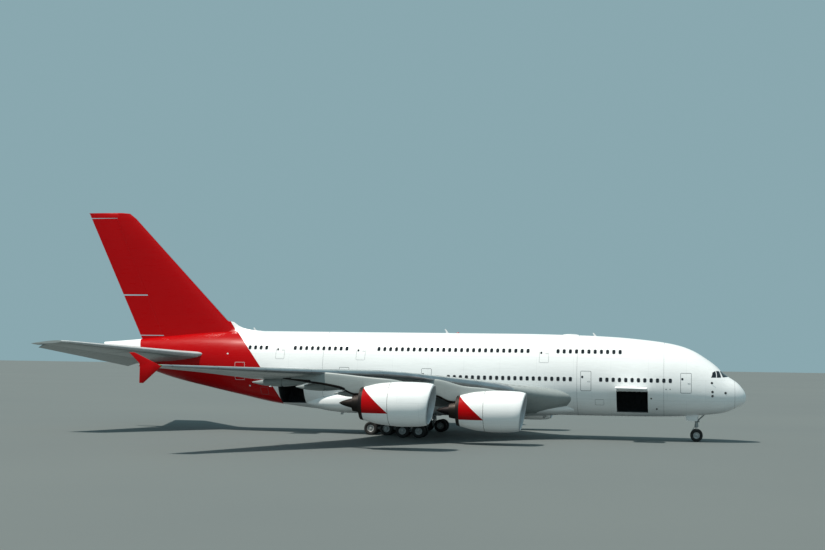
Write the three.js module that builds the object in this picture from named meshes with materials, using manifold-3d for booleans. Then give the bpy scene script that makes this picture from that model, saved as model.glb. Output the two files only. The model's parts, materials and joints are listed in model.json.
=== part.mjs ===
// Four-engined double-deck wide body airliner, parked on its gear with both starboard cargo doors open.
// Every size below is a full-size one in metres: x is the station aft of the nose tip, y is out to
// starboard and z is the height above the ground. The last lines turn the whole into a model at 1:2
// in millimetres, with +X forward, +Y to port, +Z up and the origin on the ground under the middle.
import * as THREE from 'three';
import Module from 'manifold-3d';
import { mergeVertices } from 'three/addons/utils/BufferGeometryUtils.js';

const wasm = await Module();
wasm.setup();

const MODEL_SCALE = 1 / 2;
const MILLIMETRES = 1000 * MODEL_SCALE;
const LENGTH = 72.73;
const HALF_SPAN = 39.875;

const SEAT = 0.0006;
const SWING = 0.012;
const PIN_FIT = 0.001;
const WELD = 1e-5;
const FAR = 30;

const HULL_POINTS = 24;
const HULL_POWER = 2.1;
const FAIRING_POWER = 2.6;
const CANOE_POWER = 2.4;
const CANOE_POINTS = 6;
const NACELLE_FACETS = 20;
const CORE_FACETS = 10;
const ROD_FACETS = 8;
const PIN_FACETS = 6;
const NOSE_FACETS = 12;
const WHEEL_FACETS = 12;

// Fuselage sections: station, top, bottom, half width, height of the widest point
const FUSELAGE = [
  [0.00, 4.78, 4.38, 0.20, 4.58],
  [0.10, 5.08, 4.12, 0.50, 4.60],
  [0.30, 5.42, 3.90, 0.85, 4.63],
  [0.87, 6.08, 3.58, 1.42, 4.70],
  [1.79, 6.69, 3.14, 2.00, 4.84],
  [2.25, 7.02, 2.98, 2.22, 4.92],
  [2.95, 7.73, 2.86, 2.50, 5.06],
  [4.18, 8.63, 2.72, 2.87, 5.32],
  [5.26, 9.28, 2.63, 3.10, 5.52],
  [6.60, 9.78, 2.54, 3.30, 5.74],
  [8.23, 10.12, 2.48, 3.45, 5.92],
  [10.84, 10.43, 2.43, 3.55, 6.05],
  [12.81, 10.60, 2.41, 3.57, 6.10],
  [17.00, 10.78, 2.41, 3.57, 6.10],
  [24.00, 10.88, 2.41, 3.57, 6.10],
  [44.00, 10.88, 2.45, 3.57, 6.10],
  [47.00, 10.88, 2.69, 3.56, 6.22],
  [50.10, 10.88, 3.09, 3.46, 6.45],
  [54.30, 10.85, 3.94, 3.12, 6.95],
  [57.80, 10.70, 4.67, 2.66, 7.40],
  [62.00, 10.30, 5.62, 1.95, 7.92],
  [66.00, 9.86, 6.95, 1.12, 8.45],
  [69.20, 9.58, 8.30, 0.50, 8.98],
  [70.35, 9.50, 8.85, 0.33, 9.17],
];

// Fuselage barrels: name, front station, rear station
const BARRELS = [
  ['nose_section', 0, 8.23],
  ['forward_section', 8.23, 17],
  ['centre_section', 17, 44],
  ['aft_section', 44, 53.4],
  ['tail_section', 53.4, 70.35],
];

// Cargo holds by barrel: hold and doorway [front, rear], half outline of the hold [y, z],
// hinge line of the door, and how far inside it the door's arms start
const HOLDS = {
  forward_section: {
    hold: [9.3, 15.6], doorway: [9.82, 12.98], outline: [[1.45, 2.90], [2.30, 3.70], [2.75, 4.85]],
    hinge: { y: 3.55, z: 5.17 }, inset: 0.15,
  },
  aft_section: {
    hold: [44.6, 49.2], doorway: [46.1, 48.95], outline: [[1.05, 3.15], [2.05, 3.90], [2.60, 4.85]],
    hinge: { y: 3.50, z: 5.17 }, inset: 0.25,
  },
};
const DOORWAY_TOP = 5.10;
const DOORWAY_INSIDE = 1.0;
const DOOR_THICKNESS = 0.16;
const DOORWAY_OUTSIDE = 4.5;
const DOOR_OPEN = THREE.MathUtils.degToRad(132);

// Wing and body fairing: station, half width, top, bottom
const FAIRING = [
  [17.4, 2.20, 3.90, 2.60],
  [19.5, 3.12, 4.50, 2.38],
  [21.1, 3.52, 4.90, 2.29],
  [26.0, 3.92, 5.25, 2.16],
  [36.0, 3.95, 5.10, 2.11],
  [41.5, 3.62, 4.80, 2.14],
  [44.0, 3.05, 4.40, 2.35],
  [45.9, 2.20, 3.90, 2.75],
];

// Lifting surfaces: place out along the span, leading edge station, its height, chord,
// incidence in degrees, thickness over chord
const WING = [
  [2.40, 19.75, 4.20, 18.40, 3.4, 0.135],
  [8.20, 24.27, 5.32, 14.95, 3.6, 0.125],
  [14.20, 29.05, 6.08, 11.35, 4.4, 0.112],
  [17.50, 31.48, 6.45, 10.15, 5.0, 0.106],
  [20.00, 33.32, 6.62, 9.22, 5.3, 0.104],
  [25.70, 37.53, 6.75, 7.12, 5.4, 0.102],
  [27.35, 38.745, 6.808, 6.508, 5.03, 0.102],
  [32.48, 42.524, 6.988, 4.605, 3.88, 0.101],
  [37.90, 46.516, 7.178, 2.595, 2.67, 0.100],
  [39.10, 47.40, 7.22, 2.15, 2.4, 0.100],
  [39.78, 47.80, 7.24, 1.64, 2.0, 0.095],
];
const TAILPLANE = [
  [0.50, 57.05, 8.08, 9.80, 4.5, 0.105],
  [2.00, 58.16, 8.21, 9.14, 4.5, 0.105],
  [8.20, 62.73, 8.7525, 6.60, 4.5, 0.100],
  [14.80, 67.60, 9.33, 3.95, 4.5, 0.090],
  [15.19, 68.30, 9.36, 3.40, 4.5, 0.075],
];
const FIN = [
  [9.70, 53.60, 0, 12.23, 0, 0.105],
  [23.40, 66.97, 0, 5.40, 0, 0.095],
  [24.00, 67.75, 0, 4.90, 0, 0.075],
  [24.09, 68.63, 0, 4.10, 0, 0.050],
];
const AIRFOIL_STEPS = [0, 0.015, 0.07, 0.2, 0.4, 0.62, 0.82, 1];
const CAMBER = 0.012;

// Coaxially hinged surfaces: inner and outer place along the span, hinge stations there, whether
// each end is cut square to the hinge, clearance at the ends, and how deep each end's pin goes in
const SQUARE_ENDS = { square: [true, true], gap: [SWING, SWING], pins: [0.035, 0.035] };
const AILERONS = [
  { name: 'inner_aileron', span: [27.35, 32.40], hinge: [43.45, 45.755], ...SQUARE_ENDS },
  { name: 'outer_aileron', span: [32.56, 37.90], hinge: [45.87, 48.33], ...SQUARE_ENDS },
];
const ELEVATOR = { name: 'elevator', span: [2.50, 14.75], hinge: [64.41, 70.17], ...SQUARE_ENDS };
const RUDDERS = [
  {
    name: 'lower_rudder', span: [10.32, 14.70], hinge: [63.48, 65.438],
    square: [false, false], gap: [0.085, 0.08], pins: [0, 0.018],
  },
  {
    name: 'upper_rudder', span: [14.90, 23.45], hinge: [65.532, 69.36],
    square: [false, false], gap: [0.08, 0.06], pins: [0.018, 0.035],
  },
];
const ELEVATOR_DROOP = THREE.MathUtils.degToRad(12);

// Flaps: inner and outer place along the span, front edge stations there, places of the track fairings
const FLAPS = [
  { name: 'inner_flap', span: [4.95, 13.75], front: [35.10, 37.50], tracks: [7.4, 12.3], drop: 0.45 },
  { name: 'outer_flap', span: [14.70, 26.60], front: [38.05, 43.00], tracks: [18.0, 23.9], drop: 0.40 },
];
// Track fairing sections about the pivot: x, half width, bottom, top
const CANOE = [
  [-3.0, 0.05, 0.38, 0.52],
  [-1.4, 0.24, -0.06, 0.72],
  [0.3, 0.29, -0.23, 0.64],
  [1.7, 0.24, -0.17, 0.42],
  [3.0, 0.05, 0.08, 0.18],
];
const PIVOT_DISC = 0.13;
const PIVOT_PIN = 0.04;
const TONGUE_WIDTH = 0.16;

// Engines: name, out along the span, station of the intake lip, height of the centre line,
// pylon length behind the leading edge
const ENGINES = [
  { name: 'inner', y: 14.9, lip: 21.10, z: 3.18, reach: 5.0 },
  { name: 'outer', y: 25.7, lip: 27.95, z: 4.05, reach: 4.1 },
];
// Nacelle walls and core, x behind the lip and radius
const COWL = [[0, 1.70], [0.14, 1.81], [0.8, 1.93], [2.6, 1.98], [4.5, 1.84], [6.35, 1.43]];
const DUCT = [[6.35, 1.39], [4.6, 1.51], [2.0, 1.50], [0.6, 1.49], [0.12, 1.60]];
const CORE = [
  [2.02, 0], [2.02, 0.50], [2.6, 0.74], [3.3, 0.95], [4.6, 1.02], [6.0, 0.88], [7.1, 0.70], [7.1, 0.66],
  [6.75, 0.66], [6.75, 0.50], [7.5, 0.36], [8.3, 0.08], [8.42, 0],
];
const LIP_RAKE = 0.16;
const RAKE_LENGTH = 3.0;
const FAN = { front: 0.95, rear: 1.90, hub: 0.46, tip: 1.465, blades: 12, chord: 0.42, thickness: 0.03 };
const SHAFT_RADIUS = 0.2;
const VANE = { count: 6, front: 2.7, chord: 0.5, thickness: 0.05 };
const PYLON_THICKNESS = 0.46;

// Wheels: tyre radius and width, wheel centres out from the leg, axle radius
const MAIN_WHEEL = { radius: 0.70, width: 0.53, axle: 0.08 };
const NOSE_WHEEL = { radius: 0.635, width: 0.455, axle: 0.075 };
const NOSE_GEAR = { x: 4.96, track: 0.525 };
const WING_GEAR = {
  name: 'wing_gear', x: 33.6, y: 6.23, track: 0.675,
  axles: [-0.85, 0.85], names: ['front', 'rear'],
};
const BODY_GEAR = {
  name: 'body_gear', x: 36.9, y: 2.63, track: 0.765,
  axles: [-1.7, 0, 1.7], names: ['front', 'middle', 'rear'],
};

const FINISH = {
  white: { color: 0xe9eceb, roughness: 0.3, metalness: 0 },
  red: { color: 0xb5121b, roughness: 0.3, metalness: 0 },
  grey: { color: 0x9aa19f, roughness: 0.4, metalness: 0 },
  metal: { color: 0x8d9296, roughness: 0.35, metalness: 1 },
  dark: { color: 0x3a3c3f, roughness: 0.5, metalness: 0.8 },
  tyre: { color: 0x17181a, roughness: 0.85, metalness: 0 },
};

const at = (x, y, z) => new THREE.Vector3(x, y, z);

// Turns a closed shape into a solid that can be joined and cut, with its faces pointing out
function solid(geometry) {
  const bare = new THREE.BufferGeometry();
  bare.setAttribute('position', geometry.getAttribute('position').clone());
  if (geometry.index) bare.setIndex(geometry.index.clone());
  const merged = mergeVertices(bare, WELD);
  const places = merged.getAttribute('position').array;
  const corners = [];
  for (let i = 0; i < merged.index.count; i += 3) {
    const [a, b, c] = [0, 1, 2].map((k) => merged.index.getX(i + k));
    if (a !== b && b !== c && c !== a) corners.push([a, b, c]);
  }
  const corner = (i) => new THREE.Vector3().fromArray(places, 3 * i);
  const volume = corners.reduce((sum, [a, b, c]) => sum + corner(a).dot(corner(b).cross(corner(c))), 0);
  const outward = volume < 0 ? corners.map(([a, b, c]) => [c, b, a]) : corners;
  return new wasm.Manifold(new wasm.Mesh({
    numProp: 3, vertProperties: Float32Array.from(places), triVerts: Uint32Array.from(outward.flat()),
  }));
}

function geometryOf(body) {
  const found = body.getMesh();
  const geometry = new THREE.BufferGeometry();
  geometry.setAttribute('position', new THREE.BufferAttribute(Float32Array.from(found.vertProperties), 3));
  geometry.setIndex(new THREE.BufferAttribute(Uint32Array.from(found.triVerts), 1));
  return geometry;
}

const join = (...bodies) => bodies.reduce((all, body) => all.add(body));
const cut = (body, ...tools) => tools.reduce((rest, tool) => rest.subtract(tool), body);

// Skins a row of like outlines and closes both ends; flat gives an outline's two plane coordinates.
// Each face is split along its shorter diagonal, which keeps the two sides of the aircraft alike.
function skin(rings, flat) {
  const count = rings[0].length;
  const triangles = [];
  for (let r = 0; r + 1 < rings.length; r += 1) {
    for (let i = 0; i < count; i += 1) {
      const j = (i + 1) % count;
      const [a, b] = [r * count + i, r * count + j];
      const [c, d] = [b + count, a + count];
      const even = rings[r][i].distanceTo(rings[r + 1][j]) < rings[r][j].distanceTo(rings[r + 1][i]) - WELD;
      triangles.push(...(even ? [[a, b, c], [a, c, d]] : [[a, b, d], [b, c, d]]));
    }
  }
  for (const [ring, first] of [[rings[0], 0], [rings.at(-1), (rings.length - 1) * count]]) {
    const outline = ring.map(flat);
    const turn = Math.sign(THREE.ShapeUtils.area(outline));
    for (const [a, b, c] of THREE.ShapeUtils.triangulateShape(outline, [])) {
      const along = Math.sign(THREE.ShapeUtils.area([outline[a], outline[b], outline[c]])) === turn;
      const face = along === (first > 0) ? [a, b, c] : [c, b, a];
      triangles.push(face.map((k) => first + k));
    }
  }
  const geometry = new THREE.BufferGeometry();
  const places = rings.flat().flatMap((point) => point.toArray());
  geometry.setAttribute('position', new THREE.Float32BufferAttribute(places, 3));
  geometry.setIndex(triangles.flat());
  return geometry;
}

// An outline given straight depth
function extrude(points, depth) {
  const shape = new THREE.Shape(points.map(([u, v]) => new THREE.Vector2(u, v)));
  return new THREE.ExtrudeGeometry(shape, { depth, bevelEnabled: false });
}

// An outline of [x, z] points, from one y to another
function sideGeometry(points, from, to) {
  return extrude(points, to - from).rotateX(Math.PI / 2).translate(0, to, 0);
}
const sidePlate = (points, from, to) => solid(sideGeometry(points, from, to));

// An outline of [y, z] points, from one station to another
function frontPlate(points, from, to) {
  const lying = extrude(points, to - from);
  return solid(lying.rotateX(Math.PI / 2).rotateZ(Math.PI / 2).translate(from, 0, 0));
}

function rodGeometry(start, end, radius, endRadius = radius, facets = ROD_FACETS) {
  const along = end.clone().sub(start);
  const geometry = new THREE.CylinderGeometry(endRadius, radius, along.length(), facets);
  const turn = new THREE.Quaternion().setFromUnitVectors(at(0, 1, 0), along.clone().normalize());
  geometry.applyQuaternion(turn);
  const middle = start.clone().add(end).multiplyScalar(0.5);
  return geometry.translate(middle.x, middle.y, middle.z);
}
const rod = (...sizes) => solid(rodGeometry(...sizes));

// A pin, and the bore that it turns in, whose flats face the pin's corners
const pin = (start, end, radius) => rod(start, end, radius, radius, PIN_FACETS);
function bore(start, end, radius) {
  const half = Math.PI / PIN_FACETS;
  const wide = (radius + PIN_FIT) / Math.cos(half);
  const along = end.clone().sub(start).normalize();
  const turn = new THREE.Matrix4().makeRotationAxis(along, half);
  const there = new THREE.Matrix4().makeTranslation(start);
  const back = there.clone().invert();
  const straight = rodGeometry(start, end, wide, wide, PIN_FACETS);
  return solid(straight.applyMatrix4(there.multiply(turn).multiply(back)));
}

function block(low, high) {
  const size = high.map((value, k) => value - low[k]);
  const geometry = new THREE.BoxGeometry(...size);
  return solid(geometry.translate(...high.map((value, k) => (value + low[k]) / 2)));
}

// A profile of [x, radius] points turned about a line along x
function turned(profile, facets) {
  const points = profile.map(([x, radius]) => new THREE.Vector2(radius, x));
  return new THREE.LatheGeometry(points, facets).rotateZ(-Math.PI / 2);
}

// Straight interpolation between the rows of a table by their first column
function rowAt(table, place) {
  const next = Math.max(1, table.findIndex((row) => row[0] >= place));
  const [a, b] = place > table.at(-1)[0] ? table.slice(-2) : [table[next - 1], table[next]];
  const share = (place - a[0]) / (b[0] - a[0]);
  return a.map((value, k) => value + (b[k] - value) * share);
}

const signedPower = (value, power) => Math.sign(value) * Math.abs(value) ** power;

// One closed oval section: flatter than an ellipse, with its own widest height
function oval(x, top, bottom, halfWidth, widest, power, count) {
  return Array.from({ length: count }, (_, i) => {
    const angle = (2 * Math.PI * i) / count;
    const across = halfWidth * signedPower(Math.cos(angle), 2 / power);
    const lift = Math.sin(angle) > 0 ? top - widest : widest - bottom;
    return at(x, across, widest + lift * signedPower(Math.sin(angle), 2 / power));
  });
}

const acrossFlat = (point) => new THREE.Vector2(point.y, point.z);

function hull(from, to, grow = 0) {
  const stations = [from, ...FUSELAGE.map((row) => row[0]).filter((x) => x > from && x < to), to];
  const rings = stations.map((x) => {
    const [, top, bottom, halfWidth, widest] = rowAt(FUSELAGE, x);
    return oval(x, top + grow, bottom - grow, halfWidth + grow, widest, HULL_POWER, HULL_POINTS);
  });
  return solid(skin(rings, acrossFlat));
}

function fairingShape(grow = 0) {
  const rings = FAIRING.map(([x, halfWidth, top, bottom]) => (
    oval(x, top + grow, bottom - grow, halfWidth + grow, (top + bottom) / 2, FAIRING_POWER, HULL_POINTS)));
  return solid(skin(rings, acrossFlat));
}

// Half thickness of the airfoil, as a share of the chord, with a blunt trailing edge
function halfThickness(ratio, share) {
  const root = 0.2969 * Math.sqrt(share) - 0.126 * share - 0.3516 * share ** 2 + 0.2843 * share ** 3;
  return 5 * ratio * (root - 0.1015 * share ** 4) + 0.0006 * share;
}
const camberAt = (share, camber) => 4 * camber * share * (1 - share);

// A lifting surface lies flat: station along x, span along y, thickness along z
function liftingPoint(row, share, side, camber, grow = 0) {
  const [span, leading, height, chord, incidence, ratio] = row;
  const tilt = THREE.MathUtils.degToRad(incidence);
  const along = -grow + share * (chord + 2 * grow);
  const up = chord * camberAt(share, camber) + side * (chord * halfThickness(ratio, share) + grow);
  const x = leading + along * Math.cos(tilt) + up * Math.sin(tilt);
  return at(x, span, height + up * Math.cos(tilt) - along * Math.sin(tilt));
}

function liftingShape(table, camber, grow = 0) {
  const rings = table.map((row) => [
    ...AIRFOIL_STEPS.map((share) => liftingPoint(row, share, -1, camber, grow)).reverse(),
    ...AIRFOIL_STEPS.slice(grow > 0 ? 0 : 1).map((share) => liftingPoint(row, share, 1, camber, grow)),
  ]);
  return solid(skin(rings, (point) => new THREE.Vector2(point.x, point.z)));
}

// Height of the mid line and half thickness of a lifting surface at a place in plan
function depthAt(table, camber, x, span) {
  const row = rowAt(table, span);
  const [, leading, , chord] = row;
  const share = THREE.MathUtils.clamp((x - leading) / chord, 0, 1);
  const [low, high] = [-1, 1].map((side) => liftingPoint(row, share, side, camber));
  return { middle: (low.z + high.z) / 2, half: (high.z - low.z) / 2, low: low.z };
}

// The frame of a hinge line: its two ends, its direction, the direction straight aft of it,
// and the one up from both
function hingeFrame(start, end) {
  const along = end.clone().sub(start).normalize();
  const sweep = Math.hypot(along.x, along.y);
  const aft = at(along.y / sweep, -along.x / sweep, 0);
  const up = aft.clone().cross(along);
  const matrix = new THREE.Matrix4().makeBasis(aft, along, up);
  return { start, end, along, matrix, length: start.distanceTo(end) };
}

// A geometry whose own x, y and z lie aft of, along and above a hinge line, from a point on it
function onHinge(geometry, frame, point = frame.start) {
  return solid(geometry.clone().applyMatrix4(frame.matrix.clone().setPosition(point)));
}

// All that lies behind a hinge line, from front metres aft of it, between its ends moved out by grow;
// an end that isn't square to the hinge runs straight aft
function behindHinge(frame, square, front, [first, last], low = -FAR, high = FAR) {
  const slope = frame.along.x / frame.along.y;
  const corners = [[-first, square[0]], [frame.length + last, square[1]]].map(([reach, isSquare]) => {
    const skew = isSquare ? 0 : slope;
    return [front, FAR].map((aft) => [aft, reach + aft * skew]);
  });
  const outline = [corners[0][0], corners[0][1], corners[1][1], corners[1][0]];
  return onHinge(extrude(outline, high - low).translate(0, 0, low), frame);
}

// Splits a lifting surface at a coaxial hinge into the fixed part and the moving surface
const LIP_FACTOR = 1.09;
const CONE_OVERRUN = 0.5;
const COVE_ROUNDING = 1 / Math.cos(Math.PI / NOSE_FACETS);
function splitAtHinge(fixed, whole, table, camber, surface) {
  const ends = [0, 1].map((k) => {
    const depth = depthAt(table, camber, surface.hinge[k], surface.span[k]);
    return { point: at(surface.hinge[k], surface.span[k], depth.middle), half: depth.half };
  });
  const frame = hingeFrame(ends[0].point, ends[1].point);
  const growth = (ends[1].half - ends[0].half) / frame.length;
  const radiusAt = (reach, factor, extra) => (ends[0].half + growth * reach) * factor + extra;
  const cone = (factor, extra) => rod(
    frame.start.clone().addScaledVector(frame.along, -CONE_OVERRUN),
    frame.end.clone().addScaledVector(frame.along, CONE_OVERRUN),
    radiusAt(-CONE_OVERRUN, factor, extra),
    radiusAt(frame.length + CONE_OVERRUN, factor, extra),
    NOSE_FACETS);
  const band = (front, grow) => behindHinge(frame, surface.square, front, grow);
  const cove = cone(LIP_FACTOR * COVE_ROUNDING, 0.01).intersect(band(-2, surface.gap));
  let moving = join(whole.intersect(band(0, [1, 1])), cone(0.97, 0)).intersect(band(-2, [0, 0]));
  let rest = cut(fixed, band(-SWING, surface.gap), cove);
  for (const [k, way] of [[0, -1], [1, 1]]) {
    if (surface.pins[k] === 0) continue;
    const radius = 0.3 * ends[k].half;
    const inside = ends[k].point.clone().addScaledVector(frame.along, -way * radius);
    const reach = surface.gap[k] + surface.pins[k];
    const tip = ends[k].point.clone().addScaledVector(frame.along, way * reach);
    const bottom = ends[k].point.clone().addScaledVector(frame.along, way * (reach + SEAT));
    moving = join(moving, pin(inside, tip, radius));
    rest = cut(rest, bore(inside, bottom, radius));
  }
  return { moving, rest, frame };
}

// Everything below is one named piece each
const airliner = new THREE.Group();

function place(parent, name, geometry, finish) {
  const mesh = new THREE.Mesh(geometry, new THREE.MeshStandardMaterial(FINISH[finish]));
  mesh.name = name;
  parent.add(mesh);
  return mesh;
}

// Adds a piece to starboard, at a point there, and its mirror image to port
function placeBothSides(name, body, finish, point = at(0, 0, 0)) {
  for (const [side, way] of [['right', 1], ['left', -1]]) {
    const mesh = place(airliner, `${side}_${name}`, geometryOf(body), finish);
    mesh.position.set(point.x, way * point.y, point.z);
    mesh.scale.y = way;
  }
}

function holdSpace({ hold, doorway, outline }) {
  const floor = outline[0][1];
  const mirrored = outline.map(([y, z]) => [-y, z]).reverse();
  const space = frontPlate([...outline, ...mirrored], hold[0], hold[1]);
  return join(space, block([doorway[0], DOORWAY_INSIDE, floor], [doorway[1], DOORWAY_OUTSIDE, DOORWAY_TOP]));
}

// The cargo door and the knuckles that carry it, in the closed place
const KNUCKLE = { radius: 0.05, pin: 0.02, length: 0.22 };
function knucklePlaces([front, rear]) {
  const middle = (front + rear) / 2;
  return { fixed: [front + 0.5, middle, rear - 0.5], door: [front + 0.8, rear - 0.8] };
}

const hingeEnds = ({ y, z }, x, length) => [at(x - length / 2, y, z), at(x + length / 2, y, z)];
const hingeRod = (hinge, x, length, radius) => rod(...hingeEnds(hinge, x, length), radius);

function fixedKnuckles({ doorway, hinge }) {
  const places = knucklePlaces(doorway);
  const { y, z } = hinge;
  const lug = [[y - 0.30, z + 0.12], [y - 0.30, z - 0.045], [y - 0.02, z - 0.045], [y + 0.03, z + 0.04]];
  const half = KNUCKLE.length / 2;
  const lugs = places.fixed.map((x) => join(
    hingeRod(hinge, x, KNUCKLE.length, KNUCKLE.radius), frontPlate(lug, x - half, x + half)));
  const span = places.fixed.at(-1) - places.fixed[0];
  return join(...lugs, pin(...hingeEnds(hinge, places.fixed[1], span), KNUCKLE.pin));
}

function closedDoor({ doorway, outline, hinge, inset }) {
  const [front, rear] = [doorway[0] + SWING, doorway[1] - SWING];
  const floor = outline[0][1] + SWING;
  const frame = block([front, 0, floor], [rear, DOORWAY_OUTSIDE, DOORWAY_TOP - SWING]);
  const panel = cut(hull(front - 1, rear + 1).intersect(frame), hull(front - 1, rear + 1, -DOOR_THICKNESS));
  const { y, z } = hinge;
  const arm = [
    [y - inset - 0.1, z - 0.35], [y - inset, z - 0.12], [y - 0.058, z - 0.08], [y - 0.04, z + 0.02],
    [y + 0.02, z - 0.045], [y - 0.02, z - 0.19], [y - 0.11, z - 0.33],
  ];
  const half = KNUCKLE.length / 2;
  const arms = knucklePlaces(doorway).door.map((x) => join(
    frontPlate(arm, x - half, x + half), hingeRod(hinge, x, KNUCKLE.length, KNUCKLE.radius)));
  const axle = hingeEnds(hinge, (front + rear) / 2, rear - front);
  return cut(join(panel, ...arms), bore(...axle, KNUCKLE.pin));
}

function placeOpenDoor(name, hold) {
  const { y, z } = hold.hinge;
  const geometry = geometryOf(closedDoor(hold)).translate(0, -y, -z);
  const door = place(airliner, name, geometry, 'white');
  door.position.set(0, y, z);
  door.rotation.x = DOOR_OPEN;
}

function placeFuselage() {
  for (const [name, front, rear] of BARRELS) {
    let barrel = hull(front + (front > 0 ? SEAT / 2 : 0), rear - SEAT / 2);
    if (HOLDS[name]) barrel = join(cut(barrel, holdSpace(HOLDS[name])), fixedKnuckles(HOLDS[name]));
    place(airliner, name, geometryOf(barrel), name === 'tail_section' ? 'red' : 'white');
  }
  placeOpenDoor('forward_cargo_door', HOLDS.forward_section);
  placeOpenDoor('aft_cargo_door', HOLDS.aft_section);
  place(airliner, 'belly_fairing', geometryOf(cut(fairingShape(), hull(16, 48, SEAT))), 'white');
}

function canoeShape(point) {
  const rings = CANOE.map(([x, halfWidth, bottom, top]) => (
    oval(x, top, bottom, halfWidth, (top + bottom) / 2, CANOE_POWER, CANOE_POINTS)));
  return solid(skin(rings, acrossFlat).translate(point.x, point.y, point.z));
}

// The rear half of a disc about the pivot, from its lowest point up to its highest
function halfDisc(radius) {
  const steps = [-90, -45, 0, 45, 90].map((angle) => THREE.MathUtils.degToRad(angle));
  return steps.map((angle) => [radius * Math.cos(angle), radius * Math.sin(angle)]);
}

// One flap with its track fairings: the front halves stay on the wing and the rear halves turn with the flap
const FLAP_UNDER = 0.33;
const FLAP_FRONT_SET = 0.2;
const LOWER_RELIEF = 0.75;
function splitFlap(fixed, whole, flap) {
  const axis = [0, 1].map((k) => {
    const depth = depthAt(WING, CAMBER, flap.front[k], flap.span[k]);
    return at(flap.front[k] + FLAP_FRONT_SET, flap.span[k], depth.low - flap.drop);
  });
  const frame = hingeFrame(axis[0], axis[1]);
  const square = [true, true];
  const room = (low) => behindHinge(frame, square, -FLAP_FRONT_SET - SWING, [SWING, SWING], low);
  let moving = whole.intersect(behindHinge(frame, square, -FLAP_FRONT_SET, [0, 0]));
  let rest = cut(fixed, room(-FAR));
  for (const y of flap.tracks) {
    const point = axis[0].clone().lerp(axis[1], (y - axis[0].y) / (axis[1].y - axis[0].y));
    const ends = (half) => [-half, half].map((reach) => point.clone().addScaledVector(frame.along, reach));
    const canoe = canoeShape(point);
    const slab = (outline, half = 2) => onHinge(sideGeometry(outline, -half, half), frame, point);
    const frontSide = [[-6, -2], [-SWING, -2], ...halfDisc(PIVOT_DISC), [-SWING, 0.2], [-SWING, 3], [-6, 3]];
    const hollow = halfDisc(PIVOT_DISC + 1.5 * SWING);
    const rearSide = [[2 * LOWER_RELIEF, -2], [6, -2], [6, 3], [0, 3], ...hollow.reverse().slice(0, -1)];
    const slot = slab([[-0.16, -1], [1, -1], [1, 1], [-0.16, 1]], TONGUE_WIDTH / 2 + SWING);
    const front = cut(canoe.intersect(slab(frontSide)), room(FLAP_UNDER), slot, bore(...ends(2), PIVOT_PIN));
    const round = halfDisc(PIVOT_DISC).map(([x, z]) => [-x, z]).reverse();
    const tongue = slab([...round, [0.5, -0.1], [0.5, 0.1]], TONGUE_WIDTH / 2);
    const rear = join(canoe.intersect(slab(rearSide)), tongue, pin(...ends(TONGUE_WIDTH), PIVOT_PIN));
    rest = join(rest, front);
    moving = join(moving, rear);
  }
  return { moving, rest };
}

function pylonShape(engine) {
  const leading = rowAt(WING, engine.y);
  const depth = depthAt(WING, CAMBER, leading[1] + engine.reach, engine.y);
  const outline = [
    [engine.lip + 2.0, engine.z + 1.88],
    [engine.lip + 3.6, engine.z + 2.18],
    [engine.lip + 5.6, engine.z + 2.34],
    [leading[1], leading[2]],
    [leading[1] + 0.4, depthAt(WING, CAMBER, leading[1] + 0.4, engine.y).middle],
    [leading[1] + engine.reach, depth.middle],
    [leading[1] + engine.reach, depth.low - 0.05],
    [engine.lip + 8.3, engine.z + 1.25],
    [engine.lip + 6.9, engine.z + 0.69],
    [engine.lip + 5.0, engine.z + 0.9],
    [engine.lip + 3.0, engine.z + 1.2],
  ];
  const [rear, rearRadius] = COWL.at(-1);
  const outside = COWL.map(([x, radius]) => [x, radius + SEAT]);
  const filled = [[0, 0], ...outside, [rear + SEAT, rearRadius], [rear + SEAT, 0]];
  const cowl = solid(rake(turned(filled, NACELLE_FACETS)).translate(engine.lip, engine.y, engine.z));
  const grownCore = CORE.map(([x, radius]) => [x, radius > 0 ? radius + SEAT : 0]);
  const core = solid(turned(grownCore, CORE_FACETS).translate(engine.lip, engine.y, engine.z));
  const half = PYLON_THICKNESS / 2;
  const body = sidePlate(outline, engine.y - half, engine.y + half);
  return cut(body, cowl, core, liftingShape(WING, CAMBER, SEAT));
}

// Leans the intake so that its upper lip stands ahead of the lower one
function rake(geometry) {
  const places = geometry.getAttribute('position');
  for (let i = 0; i < places.count; i += 1) {
    const share = Math.max(0, 1 - places.getX(i) / RAKE_LENGTH);
    places.setX(i, places.getX(i) - LIP_RAKE * share * places.getZ(i));
  }
  return geometry;
}

function fanShape() {
  const hub = solid(turned([
    [FAN.front, 0], [FAN.front + 0.12, 0.12], [FAN.front + 0.45, 0.34], [FAN.front + 0.7, FAN.hub],
    [FAN.rear - SEAT, FAN.hub], [FAN.rear - SEAT, 0],
  ], FAN.blades));
  const blades = Array.from({ length: FAN.blades }, (_, i) => {
    const blade = new THREE.BoxGeometry(FAN.chord, FAN.thickness, FAN.tip - FAN.hub + 0.1);
    blade.rotateZ(THREE.MathUtils.degToRad(38)).translate(FAN.front + 0.72, 0, (FAN.tip + FAN.hub - 0.1) / 2);
    return solid(blade.rotateX((2 * Math.PI * i) / FAN.blades));
  });
  return join(hub, ...blades);
}

function coreShape() {
  const shaft = rod(at(FAN.rear, 0, 0), at(FAN.rear + 0.5, 0, 0), SHAFT_RADIUS);
  const inner = 0.55;
  const outer = rowAt([...DUCT].reverse(), VANE.front)[1] * Math.cos(Math.PI / NACELLE_FACETS) - SEAT;
  const vanes = Array.from({ length: VANE.count }, (_, i) => {
    const vane = new THREE.BoxGeometry(VANE.chord, VANE.thickness, outer - inner);
    vane.translate(VANE.front + VANE.chord / 2, 0, (outer + inner) / 2);
    return solid(vane.rotateX((2 * Math.PI * (i + 0.5)) / VANE.count));
  });
  return join(solid(turned(CORE, CORE_FACETS)), shaft, ...vanes);
}

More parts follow.
